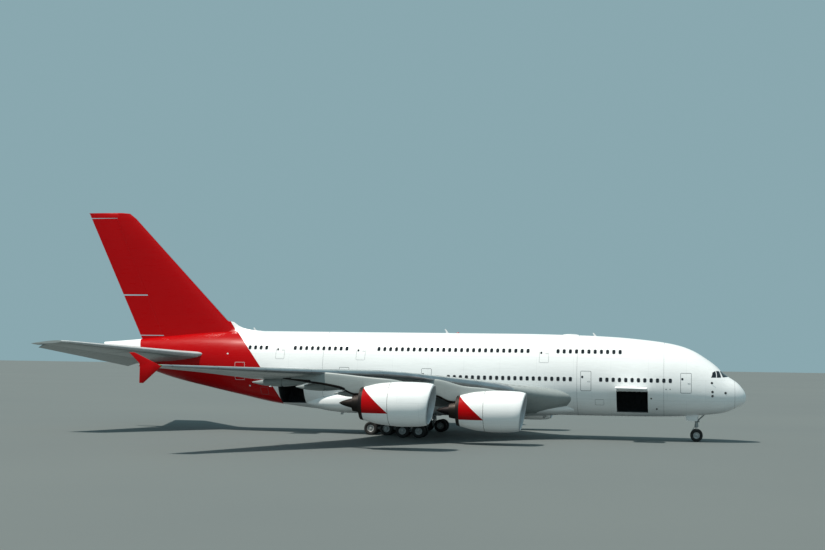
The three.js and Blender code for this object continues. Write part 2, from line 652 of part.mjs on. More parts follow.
function placeEngines() {
  const pieces = [
    ['nacelle', solid(rake(turned([...COWL, ...DUCT, COWL[0]], NACELLE_FACETS))), 'white'],
    ['fan', fanShape(), 'dark'],
    ['engine_core', coreShape(), 'metal'],
  ];
  for (const engine of ENGINES) {
    placeBothSides(`${engine.name}_pylon`, pylonShape(engine), 'white');
    for (const [name, body, finish] of pieces) {
      placeBothSides(`${engine.name}_${name}`, body, finish, at(engine.lip, engine.y, engine.z));
    }
  }
}

function placeWing() {
  const whole = liftingShape(WING, CAMBER);
  let fixed = cut(whole, hull(15, 50, SEAT), fairingShape(SEAT));
  for (const flap of FLAPS) {
    const parts = splitFlap(fixed, whole, flap);
    fixed = parts.rest;
    placeBothSides(flap.name, parts.moving, 'grey');
  }
  for (const aileron of AILERONS) {
    const { moving, rest, frame } = splitAtHinge(fixed, whole, WING, CAMBER, aileron);
    fixed = aileron === AILERONS[0] ? cut(rest, behindHinge(frame, aileron.square, 0.3, [0, 0.1])) : rest;
    placeBothSides(aileron.name, moving, 'grey');
  }
  placeBothSides('wing', fixed, 'grey');
}

// Outline of a wingtip fence, seen from the side
const FENCE = [
  [47.58, 7.18], [48.3, 7.52], [49.95, 8.28], [50.41, 8.28], [49.50, 7.40],
  [49.46, 7.05], [49.46, 5.80], [49.12, 5.80], [48.0, 6.82],
];
function placeFences() {
  const wingEnd = WING.at(-1)[0];
  placeBothSides('wingtip_fence', sidePlate(FENCE, wingEnd + SEAT, HALF_SPAN), 'red');
}

function placeTail() {
  const whole = liftingShape(TAILPLANE, 0);
  const parts = splitAtHinge(cut(whole, hull(53, 70.35, SEAT)), whole, TAILPLANE, 0, ELEVATOR);
  const inner = behindHinge(parts.frame, ELEVATOR.square, 0.4, [3, 0.1]);
  placeBothSides('tailplane', cut(parts.rest, inner), 'grey');
  placeElevators(parts);
  placeFin();
}

// The elevators hang a little down, as they do on a parked aircraft
function placeElevators({ moving, frame }) {
  const turn = new THREE.Matrix4().makeRotationAxis(frame.along, ELEVATOR_DROOP);
  const there = new THREE.Matrix4().makeTranslation(frame.start);
  const back = there.clone().invert();
  const geometry = geometryOf(moving).applyMatrix4(there.multiply(turn).multiply(back));
  placeBothSides('elevator', solid(geometry), 'grey');
}

// The fin is made lying flat and stood up
function placeFin() {
  const whole = liftingShape(FIN, 0);
  let fixed = whole;
  for (const rudder of RUDDERS) {
    const { moving, rest, frame } = splitAtHinge(fixed, whole, FIN, 0, rudder);
    fixed = rudder === RUDDERS[0] ? cut(rest, behindHinge(frame, rudder.square, 0.45, [0, 0.14])) : rest;
    place(airliner, rudder.name, geometryOf(moving), 'red').rotation.x = Math.PI / 2;
  }
  const standing = solid(geometryOf(fixed).rotateX(Math.PI / 2));
  place(airliner, 'fin', geometryOf(cut(standing, hull(50, 70.35, SEAT))), 'red');
}

// A twin wheel: both tyres on their rims, joined by the axle, turning about y
function twinWheels({ radius, width, axle }, track) {
  const flat = radius / Math.cos(Math.PI / WHEEL_FACETS);
  const half = width / 2;
  const side = [[half * 0.62, flat], [half, radius * 0.66], [half * 0.5, 0]];
  const profile = [...side.map(([x, out]) => [-x, out]).reverse(), ...side];
  const wheel = turned(profile, WHEEL_FACETS).rotateX(Math.PI / WHEEL_FACETS).rotateZ(Math.PI / 2);
  const wheels = [-track, track].map((y) => solid(wheel.clone().translate(0, y, 0)));
  return join(pin(at(0, -track, 0), at(0, track, 0), axle), ...wheels);
}

const axleBore = (x, y, z, { axle }, half) => bore(at(x, y - half, z), at(x, y + half, z), axle);

function placeNoseGear() {
  const { x, track } = NOSE_GEAR;
  const { radius, axle } = NOSE_WHEEL;
  const collar = 1.62;
  const belly = hull(0, 9, SEAT);
  const upper = join(
    rod(at(x, 0, collar), at(x, 0, 3.2), 0.17),
    rod(at(x, 0, 2.0), at(x - 1.15, 0, 3.1), 0.07),
    rod(at(x, -0.42, 2.75), at(x, 0.42, 2.75), 0.09),
    rod(at(x, -0.38, 2.75), at(x, 0, 2.05), 0.06),
    rod(at(x, 0.38, 2.75), at(x, 0, 2.05), 0.06));
  place(airliner, 'nose_gear_leg', geometryOf(cut(upper, belly)), 'metal');
  const hub = axle + 0.07;
  const reach = track - NOSE_WHEEL.width / 2 - SWING;
  const lower = join(
    rod(at(x, 0, collar - SEAT - 0.16), at(x, 0, collar - SEAT), 0.2),
    rod(at(x, 0, radius), at(x, 0, collar - 0.1), 0.11),
    rod(at(x, -reach, radius), at(x, reach, radius), hub),
    block([x + 0.1, -0.05, radius + 0.05], [x + 0.34, 0.05, radius + 0.2]),
    rod(at(x + 0.3, 0, radius + 0.12), at(x + 0.42, 0, 1.15), 0.05),
    rod(at(x + 0.42, 0, 1.15), at(x + 0.15, 0, collar - 0.09), 0.05));
  const fork = cut(lower, axleBore(x, 0, radius, NOSE_WHEEL, 1));
  place(airliner, 'nose_gear_steering', geometryOf(fork), 'metal');
  const wheels = place(airliner, 'nose_wheels', geometryOf(twinWheels(NOSE_WHEEL, track)), 'tyre');
  wheels.position.set(x, 0, radius);
}

// The bogie beam with its axle housings, and the strut above it
function bogie({ x, y, track, axles }) {
  const { radius, width } = MAIN_WHEEL;
  const beam = block([x + axles[0], y - 0.13, radius - 0.14], [x + axles.at(-1), y + 0.13, radius + 0.12]);
  const reach = track - width / 2 - SWING;
  const housings = axles.map((offset) => (
    rod(at(x + offset, y - reach, radius), at(x + offset, y + reach, radius), 0.15)));
  const head = block([x - 0.2, y - 0.17, radius - 0.1], [x + 0.2, y + 0.17, radius + 0.26]);
  const strut = join(rod(at(x, y, radius), at(x, y, 1.6), 0.14), head);
  const bores = axles.map((offset) => axleBore(x + offset, y, radius, MAIN_WHEEL, 1));
  return cut(join(beam, ...housings, strut), ...bores);
}

function placeMainGear() {
  const { x, y } = WING_GEAR;
  const wing = join(liftingShape(WING, CAMBER, SEAT), fairingShape(SEAT));
  const braces = [
    rod(at(x, y, 1.45), at(x, y, 4.4), 0.24),
    rod(at(x, y, 1.9), at(x - 0.2, 3.4, 3.3), 0.09),
    rod(at(x, y, 2.2), at(x - 2.4, y - 0.2, 4.3), 0.1),
    rod(at(x + 0.2, y, 1.0), at(x + 0.5, y, 1.5), 0.06),
    rod(at(x + 0.5, y, 1.5), at(x + 0.2, y, 2.0), 0.06),
    block([x - 0.75, y + 0.3, 1.75], [x + 0.75, y + 0.36, 4.4]),
    block([x - 0.12, y, 2.4], [x + 0.12, y + 0.32, 2.6]),
    block([x - 0.12, y, 3.2], [x + 0.12, y + 0.32, 3.4]),
  ];
  placeBothSides('wing_gear_leg', cut(join(bogie(WING_GEAR), ...braces), wing), 'metal');
  const body = BODY_GEAR;
  const struts = [
    rod(at(body.x, body.y, 1.2), at(body.x, body.y, 2.9), 0.24),
    rod(at(body.x - 0.1, body.y, 1.7), at(body.x - 1.6, body.y, 2.8), 0.1),
    rod(at(body.x, body.y, 1.6), at(body.x, body.y - 1.0, 2.7), 0.08),
    rod(at(body.x + 0.2, body.y, 0.95), at(body.x + 0.5, body.y, 1.3), 0.06),
    rod(at(body.x + 0.5, body.y, 1.3), at(body.x + 0.2, body.y, 1.7), 0.06),
  ];
  const belly = join(fairingShape(SEAT), hull(30, 44, SEAT));
  placeBothSides('body_gear_leg', cut(join(bogie(body), ...struts), belly), 'metal');
  for (const gear of [WING_GEAR, BODY_GEAR]) {
    const wheels = twinWheels(MAIN_WHEEL, gear.track);
    gear.axles.forEach((offset, i) => {
      const hub = at(gear.x + offset, gear.y, MAIN_WHEEL.radius);
      placeBothSides(`${gear.name}_${gear.names[i]}_wheels`, wheels, 'tyre', hub);
    });
  }
}

placeFuselage();
placeWing();
placeFences();
placeTail();
placeEngines();
placeNoseGear();
placeMainGear();

airliner.rotation.z = Math.PI;
airliner.scale.setScalar(MILLIMETRES);
airliner.position.x = (LENGTH / 2) * MILLIMETRES;

export default airliner;
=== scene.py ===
"""Looks of a double-deck wide body airliner, a scale model at 1:2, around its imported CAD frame.

Places below are full-size metres: x aft of the nose, y out to starboard and z above the ground.
TO_FRAME halves them and turns them into the frame, where +X runs to the nose and +Y to port.
"""

import json
import math
from bisect import bisect_right

import bmesh
import bpy
from mathutils import Matrix, Vector

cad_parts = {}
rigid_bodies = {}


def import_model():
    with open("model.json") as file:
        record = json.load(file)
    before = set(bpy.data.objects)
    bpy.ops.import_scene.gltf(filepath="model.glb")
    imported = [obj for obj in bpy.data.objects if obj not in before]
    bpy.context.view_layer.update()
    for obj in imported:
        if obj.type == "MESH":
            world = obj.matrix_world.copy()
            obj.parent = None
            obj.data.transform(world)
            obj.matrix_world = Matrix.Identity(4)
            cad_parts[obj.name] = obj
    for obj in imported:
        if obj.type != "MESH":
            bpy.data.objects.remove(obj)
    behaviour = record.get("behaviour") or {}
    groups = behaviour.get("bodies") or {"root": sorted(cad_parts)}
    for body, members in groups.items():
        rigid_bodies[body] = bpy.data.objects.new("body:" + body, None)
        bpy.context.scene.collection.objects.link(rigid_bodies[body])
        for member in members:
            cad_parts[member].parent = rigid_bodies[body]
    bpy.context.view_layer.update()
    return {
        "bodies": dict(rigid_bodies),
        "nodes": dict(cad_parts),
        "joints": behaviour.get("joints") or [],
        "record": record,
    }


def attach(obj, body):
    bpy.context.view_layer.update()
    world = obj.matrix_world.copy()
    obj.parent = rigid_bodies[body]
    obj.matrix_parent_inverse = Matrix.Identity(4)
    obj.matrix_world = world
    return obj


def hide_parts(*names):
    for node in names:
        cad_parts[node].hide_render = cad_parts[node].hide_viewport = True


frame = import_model()

bl_info = {
    "name": "Wide Body Airliner",
    "version": (1, 0, 0),
    "blender": (4, 5, 0),
    "location": "3D View > Sidebar > Airliner",
    "description": "Builds the skin, wings, engines, gear and finishes of a wide body airliner on its frame",
    "category": "Add Mesh",
}

LENGTH = 72.73
TO_FRAME = (
    Matrix.Translation((LENGTH / 4, 0, 0)) @ Matrix.Rotation(math.pi, 4, "Z") @ Matrix.Scale(0.5, 4)
)
SIDES = (("right", 1), ("left", -1))

# Fuselage sections: station, top, bottom, half width, height of the widest point
FUSELAGE = [
    (0.00, 4.58, 4.58, 0.00, 4.58), (0.10, 5.08, 4.12, 0.50, 4.60), (0.30, 5.42, 3.90, 0.85, 4.63),
    (0.87, 6.08, 3.58, 1.42, 4.70), (1.79, 6.69, 3.14, 2.00, 4.84), (2.25, 7.02, 2.98, 2.22, 4.92),
    (2.95, 7.73, 2.86, 2.50, 5.06), (4.18, 8.63, 2.72, 2.87, 5.32), (5.26, 9.28, 2.63, 3.10, 5.52),
    (6.60, 9.78, 2.54, 3.30, 5.74), (8.23, 10.12, 2.48, 3.45, 5.92), (10.84, 10.43, 2.43, 3.55, 6.05),
    (12.81, 10.60, 2.41, 3.57, 6.10), (17.00, 10.78, 2.41, 3.57, 6.10), (24.00, 10.88, 2.41, 3.57, 6.10),
    (44.00, 10.88, 2.45, 3.57, 6.10), (47.00, 10.88, 2.69, 3.56, 6.22), (50.10, 10.88, 3.09, 3.46, 6.45),
    (54.30, 10.85, 3.94, 3.12, 6.95), (57.80, 10.70, 4.67, 2.66, 7.40), (62.00, 10.30, 5.62, 1.95, 7.92),
    (66.00, 9.86, 6.95, 1.12, 8.45), (69.20, 9.58, 8.30, 0.50, 8.98), (70.35, 9.50, 8.85, 0.33, 9.17),
]
HULL_POWER = 2.1
BARREL_SEAMS = (1.15, 8.23, 17.0, 44.0)

# Wing and body fairing: station, half width, top, bottom
FAIRING = [
    (17.4, 2.20, 3.90, 2.60), (19.5, 3.12, 4.50, 2.38), (21.1, 3.52, 4.90, 2.29), (26.0, 3.92, 5.25, 2.16),
    (36.0, 3.95, 5.10, 2.11), (41.5, 3.62, 4.80, 2.14), (44.0, 3.05, 4.40, 2.35), (45.9, 2.20, 3.90, 2.75),
]
FAIRING_POWER = 2.6

# Lifting surfaces: place out along the span, leading edge station, its height, chord,
# incidence in degrees, thickness over chord
WING = [
    (2.40, 19.75, 4.20, 18.40, 3.4, 0.135), (8.20, 24.27, 5.32, 14.95, 3.6, 0.125),
    (14.20, 29.05, 6.08, 11.35, 4.4, 0.112), (17.50, 31.48, 6.45, 10.15, 5.0, 0.106),
    (20.00, 33.32, 6.62, 9.22, 5.3, 0.104), (25.70, 37.53, 6.75, 7.12, 5.4, 0.102),
    (39.10, 47.40, 7.22, 2.15, 2.4, 0.100), (39.78, 47.80, 7.24, 1.64, 2.0, 0.095),
]
TAILPLANE = [
    (0.50, 57.05, 8.08, 9.80, 4.5, 0.105), (2.00, 58.16, 8.21, 9.14, 4.5, 0.105),
    (8.20, 62.73, 8.7525, 6.60, 4.5, 0.100), (14.80, 67.60, 9.33, 3.95, 4.5, 0.090),
    (15.19, 68.30, 9.36, 3.40, 4.5, 0.075),
]
FIN = [
    (9.70, 53.60, 0, 12.23, 0, 0.105), (23.40, 66.97, 0, 5.40, 0, 0.095),
    (24.00, 67.75, 0, 4.90, 0, 0.075), (24.09, 68.63, 0, 4.10, 0, 0.050),
]
WING_CAMBER = 0.012

# Hinged surfaces: inner and outer place along the span, hinge stations there
AILERONS = {
    "inner_aileron": ((27.35, 43.45), (32.40, 45.755)),
    "outer_aileron": ((32.56, 45.87), (37.90, 48.33)),
}
ELEVATOR = ((2.50, 64.41), (14.75, 70.17))
RUDDERS = {
    "lower_rudder": ((10.32, 63.48), (14.72, 65.447)),
    "upper_rudder": ((14.86, 65.514), (23.45, 69.36)),
}
ELEVATOR_DROOP = math.radians(12)
SWING_GAP = 0.012
FLAP_FRONT_SET = 0.2
# Flaps: front edge (span, station) at both ends, track fairings, drop of the hinge line
FLAPS = {
    "inner_flap": (((4.95, 35.10), (13.75, 37.50)), (7.4, 12.3), 0.45),
    "outer_flap": (((14.70, 38.05), (26.60, 43.00)), (18.0, 23.9), 0.40),
}
# Track fairing about the pivot: x, half width, bottom, top
CANOE = [(-3.0, 0.05, 0.38, 0.52), (-1.4, 0.24, -0.06, 0.72), (0.3, 0.29, -0.23, 0.64),
         (1.7, 0.24, -0.17, 0.42), (3.0, 0.05, 0.08, 0.18)]
CANOE_POWER = 2.4
# Between its halves: how much the cut leans up for each metre aft, and how far behind the pivot it starts
CANOE_LEAN, CANOE_PLAY = 0.75, 0.03
FENCE = [(47.58, 7.18), (48.3, 7.52), (49.95, 8.28), (50.41, 8.28), (49.50, 7.40),
         (49.46, 7.05), (49.46, 5.80), (49.12, 5.80), (48.0, 6.82)]
FENCE_SIDES = (39.7806, 39.875)

# Engines: name, out along the span, station of the intake lip, height, pylon behind the leading edge
ENGINES = (("inner", 14.9, 21.10, 3.18, 5.0), ("outer", 25.7, 27.95, 4.05, 4.1))
COWL = [(0, 1.70), (0.14, 1.81), (0.8, 1.93), (2.6, 1.98), (4.5, 1.84), (6.35, 1.43)]
DUCT = [(0.12, 1.60), (0.6, 1.49), (2.0, 1.50), (4.6, 1.51), (6.35, 1.39)]
CORE = [(2.02, 0.50), (2.6, 0.74), (3.3, 0.95), (4.6, 1.02), (6.0, 0.88), (7.1, 0.70)]
PLUG = [(6.75, 0.50), (7.5, 0.36), (8.3, 0.08), (8.42, 0)]
LIP_RAKE = 0.16
RAKE_LENGTH = 3.0

# Cargo holds: hold and doorway [front, rear], half outline [y, z], hinge (y, z)
HOLDS = {
    "forward": {"hold": (9.3, 15.6), "doorway": (9.82, 12.98), "hinge": (3.55, 5.17),
                "outline": ((1.45, 2.90), (2.30, 3.70), (2.75, 5.10))},
    "aft": {"hold": (44.6, 49.2), "doorway": (46.1, 48.95), "hinge": (3.50, 5.17),
            "outline": ((1.05, 3.15), (2.05, 3.90), (2.60, 5.10))},
}
DOORWAY_TOP = 5.10
DOOR_THICKNESS = 0.16
DOOR_TOP_GAP = 0.03
DOOR_OPEN = math.radians(132)

# Landing gear: wheel radius and width, place of each leg, track and axle offsets
MAIN_WHEEL = (0.70, 0.53)
NOSE_WHEEL = (0.635, 0.455)
NOSE_LEG = 4.96
NOSE_TRACK = 0.525
BOGIES = {
    "wing_gear": (33.6, 6.23, 0.675, {"front": -0.85, "rear": 0.85}),
    "body_gear": (36.9, 2.63, 0.765, {"front": -1.7, "middle": 0.0, "rear": 1.7}),
}


def linear(code):
    """The linear colour of an sRGB hex value."""
    shares = [int(code[i:i + 2], 16) / 255 for i in (1, 3, 5)]
    return tuple(s / 12.92 if s <= 0.04045 else ((s + 0.055) / 1.055) ** 2.4 for s in shares)


def length(name, default, description):
    return bpy.props.FloatProperty(name=name, description=description, default=default, unit="LENGTH")


def paint_colour(name, code, description):
    return bpy.props.FloatVectorProperty(
        name=name, description=description, subtype="COLOR", default=linear(code), min=0, max=1)


class AirlinerSizes(bpy.types.PropertyGroup):
    """Sizes of the small parts, in full-size metres."""

    window_width: length("Window width", 0.38, "Width of a cabin window")
    window_height: length("Window height", 0.50, "Height of a cabin window")
    window_rim: length("Window rim", 0.03, "Width of the rim round a cabin window")
    outline_width: length("Door outline", 0.038, "Width of the outline round a door")
    tyre_groove: length("Tyre groove", 0.014, "Depth of the grooves in the tyres")
    fan_blades: bpy.props.IntProperty(
        name="Fan blades", description="Number of blades in each fan", default=24, min=12, max=40)


class AirlinerColours(bpy.types.PropertyGroup):
    """Colours of the paint."""

    body: paint_colour("Body", "#F1F3F4", "Top coat of the fuselage and nacelles")
    rear: paint_colour("Rear body and fin", "#AC0005", "Top coat of the rear body, the fin and the fences")
    wing: paint_colour("Wing", "#939B9B", "Top coat of the wings and the tailplane")
    floor: paint_colour("Floor", "#686F6E", "Colour of the plain floor")


# Finishes

def add_node(tree, kind, inputs=(), **settings):
    """Add one node; an input is a value or the socket that it is linked to."""
    made = tree.nodes.new(kind)
    for name, value in settings.items():
        setattr(made, name, value)
    for socket, value in dict(inputs).items():
        if isinstance(value, bpy.types.NodeSocket):
            tree.links.new(value, made.inputs[socket])
        else:
            made.inputs[socket].default_value = value
    return made


def new_finish(name, **surface):
    """A material with its surface shader; surface holds the values that are the same all over."""
    material = bpy.data.materials.new(name)
    material.use_nodes = True
    shader = material.node_tree.nodes["Principled BSDF"]
    for socket, value in surface.items():
        shader.inputs[socket.replace("_", " ")].default_value = value
    return material, material.node_tree, shader


def link_surface(tree, shader, colour, roughness=None, normal=None):
    for socket, source in (("Base Color", colour), ("Roughness", roughness), ("Normal", normal)):
        if source is not None:
            tree.links.new(source, shader.inputs[socket])


def rgba(colour):
    return (*colour[:3], 1.0)


SOIL_TONE = "#5B5750"


def topcoat(name, colour, soil, across, panel, coat=0.25, seam_depth=0.0006):
    """Sprayed polyurethane top coat on riveted sheet, with clear coat: even colour, soft gloss,
    faint butt seams between sheets, soil in streaks along the airflow."""
    material, tree, shader = new_finish(
        name, IOR=1.5, Specular_IOR_Level=2 * coat, Coat_Weight=coat, Coat_Roughness=0.15, Metallic=0.0)
    place = add_node(tree, "ShaderNodeTexCoord").outputs["Object"]
    parts = add_node(tree, "ShaderNodeSeparateXYZ", {0: place}).outputs
    flat = add_node(tree, "ShaderNodeCombineXYZ", {0: parts["X"], 1: parts[across]}).outputs[0]
    seams = add_node(
        tree, "ShaderNodeTexBrick",
        {"Vector": flat, "Scale": 1.0, "Mortar Size": 0.005, "Mortar Smooth": 0.25,
         "Brick Width": panel[0], "Row Height": panel[1], "Color1": (1, 1, 1, 1),
         "Color2": (0.955, 0.96, 0.965, 1), "Mortar": (0.50, 0.52, 0.55, 1)},
        offset=0.5)
    # Streaks are about 0.4 m long and 30 mm wide here, drawn coarse enough to show from far off
    drawn = add_node(tree, "ShaderNodeMapping", {"Vector": place, "Scale": (1.2, 9.0, 9.0)}).outputs[0]
    streaks = add_node(
        tree, "ShaderNodeTexNoise",
        {"Vector": drawn, "Scale": 1.0, "Detail": 6.0, "Roughness": 0.62}).outputs["Fac"]
    soiled = add_node(
        tree, "ShaderNodeMapRange", {"Value": streaks, "From Min": 0.45, "From Max": 0.85, "To Max": soil})
    seamed = add_node(
        tree, "ShaderNodeMix", {0: 0.35, 6: rgba(colour), 7: seams.outputs["Color"]},
        data_type="RGBA", blend_type="MULTIPLY")
    dirty = add_node(
        tree, "ShaderNodeMix", {0: soiled.outputs[0], 6: seamed.outputs[2], 7: rgba(linear(SOIL_TONE))},
        data_type="RGBA")
    rough = add_node(
        tree, "ShaderNodeMapRange",
        {"Value": streaks, "From Min": 0.3, "From Max": 0.8, "To Min": 0.24, "To Max": 0.42})
    # Orange peel of the spray, about 20 mm from crest to crest
    peel = add_node(tree, "ShaderNodeTexNoise", {"Vector": place, "Scale": 50.0, "Detail": 2.0})
    ground = add_node(
        tree, "ShaderNodeBump",
        {"Height": seams.outputs["Fac"], "Strength": 0.5, "Distance": seam_depth}, invert=True)
    bump = add_node(
        tree, "ShaderNodeBump",
        {"Height": peel.outputs["Fac"], "Strength": 0.08, "Distance": 0.0005, "Normal": ground.outputs[0]})
    link_surface(tree, shader, dirty.outputs[2], rough.outputs[0], bump.outputs[0])
    return material


def worn(name, tone, second_tone, scale, rough, relief, metallic=0.0, coat=0.0, ior=None):
    """A finish whose colour and gloss drift between two tones over a given size, with fine relief."""
    material, tree, shader = new_finish(name, Metallic=metallic, Coat_Weight=coat)
    if ior:
        shader.inputs["IOR"].default_value = ior
    place = add_node(tree, "ShaderNodeTexCoord").outputs["Object"]
    drift = add_node(
        tree, "ShaderNodeTexNoise",
        {"Vector": place, "Scale": scale, "Detail": 5.0, "Roughness": 0.6}).outputs["Fac"]
    share = add_node(tree, "ShaderNodeMapRange", {"Value": drift, "From Min": 0.35, "From Max": 0.7})
    tint = add_node(
        tree, "ShaderNodeMix",
        {0: share.outputs[0], 6: rgba(linear(tone)), 7: rgba(linear(second_tone))}, data_type="RGBA")
    gloss = add_node(
        tree, "ShaderNodeMapRange",
        {"Value": drift, "From Min": 0.3, "From Max": 0.7, "To Min": rough[0], "To Max": rough[1]})
    fine = add_node(tree, "ShaderNodeTexNoise", {"Vector": place, "Scale": scale * 12, "Detail": 3.0})
    bump = add_node(
        tree, "ShaderNodeBump", {"Height": fine.outputs["Fac"], "Strength": 0.25, "Distance": relief})
    link_surface(tree, shader, tint.outputs[2], gloss.outputs[0], bump.outputs[0])
    return material


# Top coats: name, which of the colours, soil, direction across the sheets, sheet size, clear coat
COATS = {
    # Glossy white top coat on the fuselage: bright, with soft broad highlights
    "white": ("white_polyurethane_topcoat", "body", 0.10, "Z", (1.9, 1.05), 0.25),
    # The same paint in deep red, with a thinner clear coat, so that the sky pales it little
    "red": ("red_polyurethane_topcoat", "rear", 0.015, "Z", (1.9, 1.05), 0.06),
    # Grey top coat on the wing boxes, more soiled than the white
    "grey": ("grey_polyurethane_topcoat", "wing", 0.22, "Y", (1.1, 0.8), 0.25),
}
# Other finishes: name, two tones, scale of the drift, roughness, relief, metallic, clear coat, IOR
WORN = {
    # Polished aluminium leading edges: a clean mirror that has weathered a little
    "bare": ("polished_aluminium", "#BCC0C4", "#A4A9AE", 2.0, (0.30, 0.42), 0.00005, 1.0),
    # Aluminium intake lip, dull and pale: the pale colour is a painted reflection of the bright sky on the
    # polished metal
    "lip": ("anodised_aluminium_lip", "#BFC3C6", "#AFB4B8", 3.0, (0.45, 0.6), 0.0001, 0.35),
    # Matt rain erosion coat on the tailplane's leading edge
    "edge": ("grey_erosion_coat", "#C4C8C9", "#B5B9BB", 3.0, (0.4, 0.55), 0.0001),
    # Acrylic cabin pane: almost black, painted shade of the unlit cabin behind it, with a sharp highlight
    "glass": ("acrylic_pane", "#14181D", "#1D232A", 6.0, (0.04, 0.10), 0.00005, 0.0, 0.0, 1.49),
    # Grey primer line that marks doors and hatches, and the white one on red and round windows
    "outline": ("grey_marking_paint", "#5A6066", "#4F555B", 8.0, (0.35, 0.5), 0.0002),
    "pale_outline": ("white_marking_paint", "#D9DADB", "#C4C6C8", 8.0, (0.3, 0.45), 0.0002),
    # Glass fibre liner of the cargo hold, matt and scuffed, its dark grey painted shade of the hold's inside,
    # and its floor dulled by containers
    "liner": ("glass_fibre_hold_liner", "#4C5052", "#3C3F41", 5.0, (0.6, 0.8), 0.0008),
    "hold_floor": ("scuffed_aluminium_floor", "#6D7072", "#4B4E50", 9.0, (0.4, 0.65), 0.0006, 0.8),
    # Acoustic liner in the duct: satin grey, kept dark, partly as painted shade of the intake's inside
    "duct": ("perforated_acoustic_liner", "#696D71", "#62676B", 30.0, (0.5, 0.6), 0.0004, 0.1),
    # Hollow titanium fan blade, dark satin metal, and the spinner's satin paint
    "blade": ("titanium_fan_blade", "#4A4E54", "#363A40", 7.0, (0.28, 0.42), 0.0002, 0.9),
    "spinner": ("satin_black_spinner_paint", "#17191C", "#202327", 7.0, (0.35, 0.5), 0.0002),
    # Nickel alloy nozzle, blued and browned by heat
    "nozzle": ("heat_tinted_nickel_alloy", "#37322D", "#242226", 2.2, (0.45, 0.6), 0.0004, 0.9),
    # Painted high-strength steel of the gear legs, their bright pistons and the wheels' rims
    "leg": ("grey_enamel_on_steel", "#A9ADAE", "#8D9192", 7.0, (0.32, 0.5), 0.0004),
    "chrome": ("hard_chromed_piston", "#D4D6D8", "#C2C5C8", 9.0, (0.08, 0.16), 0.0001, 1.0),
    "rim": ("painted_aluminium_rim", "#B9BCBD", "#8B8D8C", 9.0, (0.35, 0.55), 0.0003, 0.2),
    # Filled rubber of the tyres, dusted by the ground, of hoses and of seals
    "rubber": ("black_tyre_rubber", "#1B1C1D", "#2B2A28", 5.0, (0.7, 0.9), 0.0008),
    "hose": ("braided_rubber_hose", "#202224", "#2E3032", 30.0, (0.5, 0.7), 0.0005),
    "dark": ("shadowed_seal_rubber", "#0E0F10", "#181A1B", 12.0, (0.6, 0.8), 0.0004),
    # Smooth paint on antennas, which lets radio waves through
    "radome": ("antistatic_radome_paint", "#DCDEDF", "#CFD2D4", 2.0, (0.3, 0.45), 0.0002),
    # Lamp glass: deep colour under a clear gloss
    "red_lens": ("red_lamp_glass", "#B01018", "#8C0C12", 12.0, (0.05, 0.12), 0.0001, 0.0, 0.6),
    "green_lens": ("green_lamp_glass", "#10803C", "#0C6A30", 12.0, (0.05, 0.12), 0.0001, 0.0, 0.6),
    "clear_lens": ("clear_lamp_glass", "#D8E0E4", "#C4CDD2", 12.0, (0.04, 0.1), 0.0001, 0.0, 0.6),
}
FINISHES = {}
# The number that marks a finish on a face while its piece is made; unmarked faces have the piece's own
MARK = {name: number for number, name in enumerate(["own", *COATS, *WORN])}


def make_finishes(colours):
    """Every finish of the airliner, each named for what the real one is."""
    for key, (name, colour, *rest) in COATS.items():
        FINISHES[key] = topcoat(name, getattr(colours, colour), *rest)
    for key, row in WORN.items():
        FINISHES[key] = worn(*row)


# Shapes

X_AXIS, Y_AXIS, Z_AXIS = (Vector(row) for row in ((1, 0, 0), (0, 1, 0), (0, 0, 1)))
CUT_LIMIT = 1e-6
# How near the axis or a plane counts as on it, and how near to each other vertices merge
ON_AXIS, ON_PLANE, MERGE = 1e-5, 1e-4, 1e-4
# Where the nose is searched for a place, and in how many halvings
NOSE_SEARCH, HALVINGS = (0.05, 8.0), 40
SHARP_ANGLE = math.radians(35)
# How straight along an axis a face must look to count as facing that way
FACING = 0.9
ROD_SIDES = 20


def spread(first, last, steps):
    """Evenly spaced values from the first to the last."""
    return [first + (last - first) * k / steps for k in range(steps + 1)]


def eased(table, warp=float):
    """A monotone cubic curve through the rows of a table, as a function of the first column."""
    places = [warp(row[0]) for row in table]
    steps = [b - a for a, b in zip(places, places[1:])]
    columns = []
    for column in list(zip(*table))[1:]:
        rises = [(b - a) / h for a, b, h in zip(column, column[1:], steps)]
        slopes = [rises[0]]
        for (d0, d1), (h0, h1) in zip(zip(rises, rises[1:]), zip(steps, steps[1:])):
            level = d0 * d1 <= 0
            near, far = 2 * h1 + h0, h1 + 2 * h0
            slopes.append(0.0 if level else (near + far) / (near / d0 + far / d1))
        columns.append((column, slopes + [rises[-1]]))

    def at(place):
        x = warp(place)
        k = min(max(bisect_right(places, x) - 1, 0), len(steps) - 1)
        h = steps[k]
        t = min(max((x - places[k]) / h, 0.0), 1.0)
        return [
            (1 + 2 * t) * (1 - t) ** 2 * v[k] + t * (1 - t) ** 2 * h * m[k]
            + t * t * (3 - 2 * t) * v[k + 1] + t * t * (t - 1) * h * m[k + 1]
            for v, m in columns]
    return at


def straight(table, place):
    """The row of a table at a place, on straight lines between its rows."""
    k = min(max(bisect_right([row[0] for row in table], place) - 1, 0), len(table) - 2)
    a, b = table[k], table[k + 1]
    share = (place - a[0]) / (b[0] - a[0])
    return [v + (w - v) * share for v, w in zip(a, b)]


hull_at = eased(FUSELAGE, lambda x: math.sqrt(max(x, 0.0)))
fairing_at = eased(FAIRING)
canoe_at = eased(CANOE)


def signed_power(value, power):
    return math.copysign(abs(value) ** power, value)


def oval(x, top, bottom, half, widest, power, count):
    """A closed section across the body, flatter than an ellipse; widest is its widest height, or None
    for the middle."""
    if widest is None:
        widest = (top + bottom) / 2
    ring = []
    for turn in spread(0, 2 * math.pi, count)[:-1]:
        across, up = (signed_power(part, 2 / power) for part in (math.cos(turn), math.sin(turn)))
        ring.append(Vector((x, half * across, widest + up * (top - widest if up > 0 else widest - bottom))))
    return ring


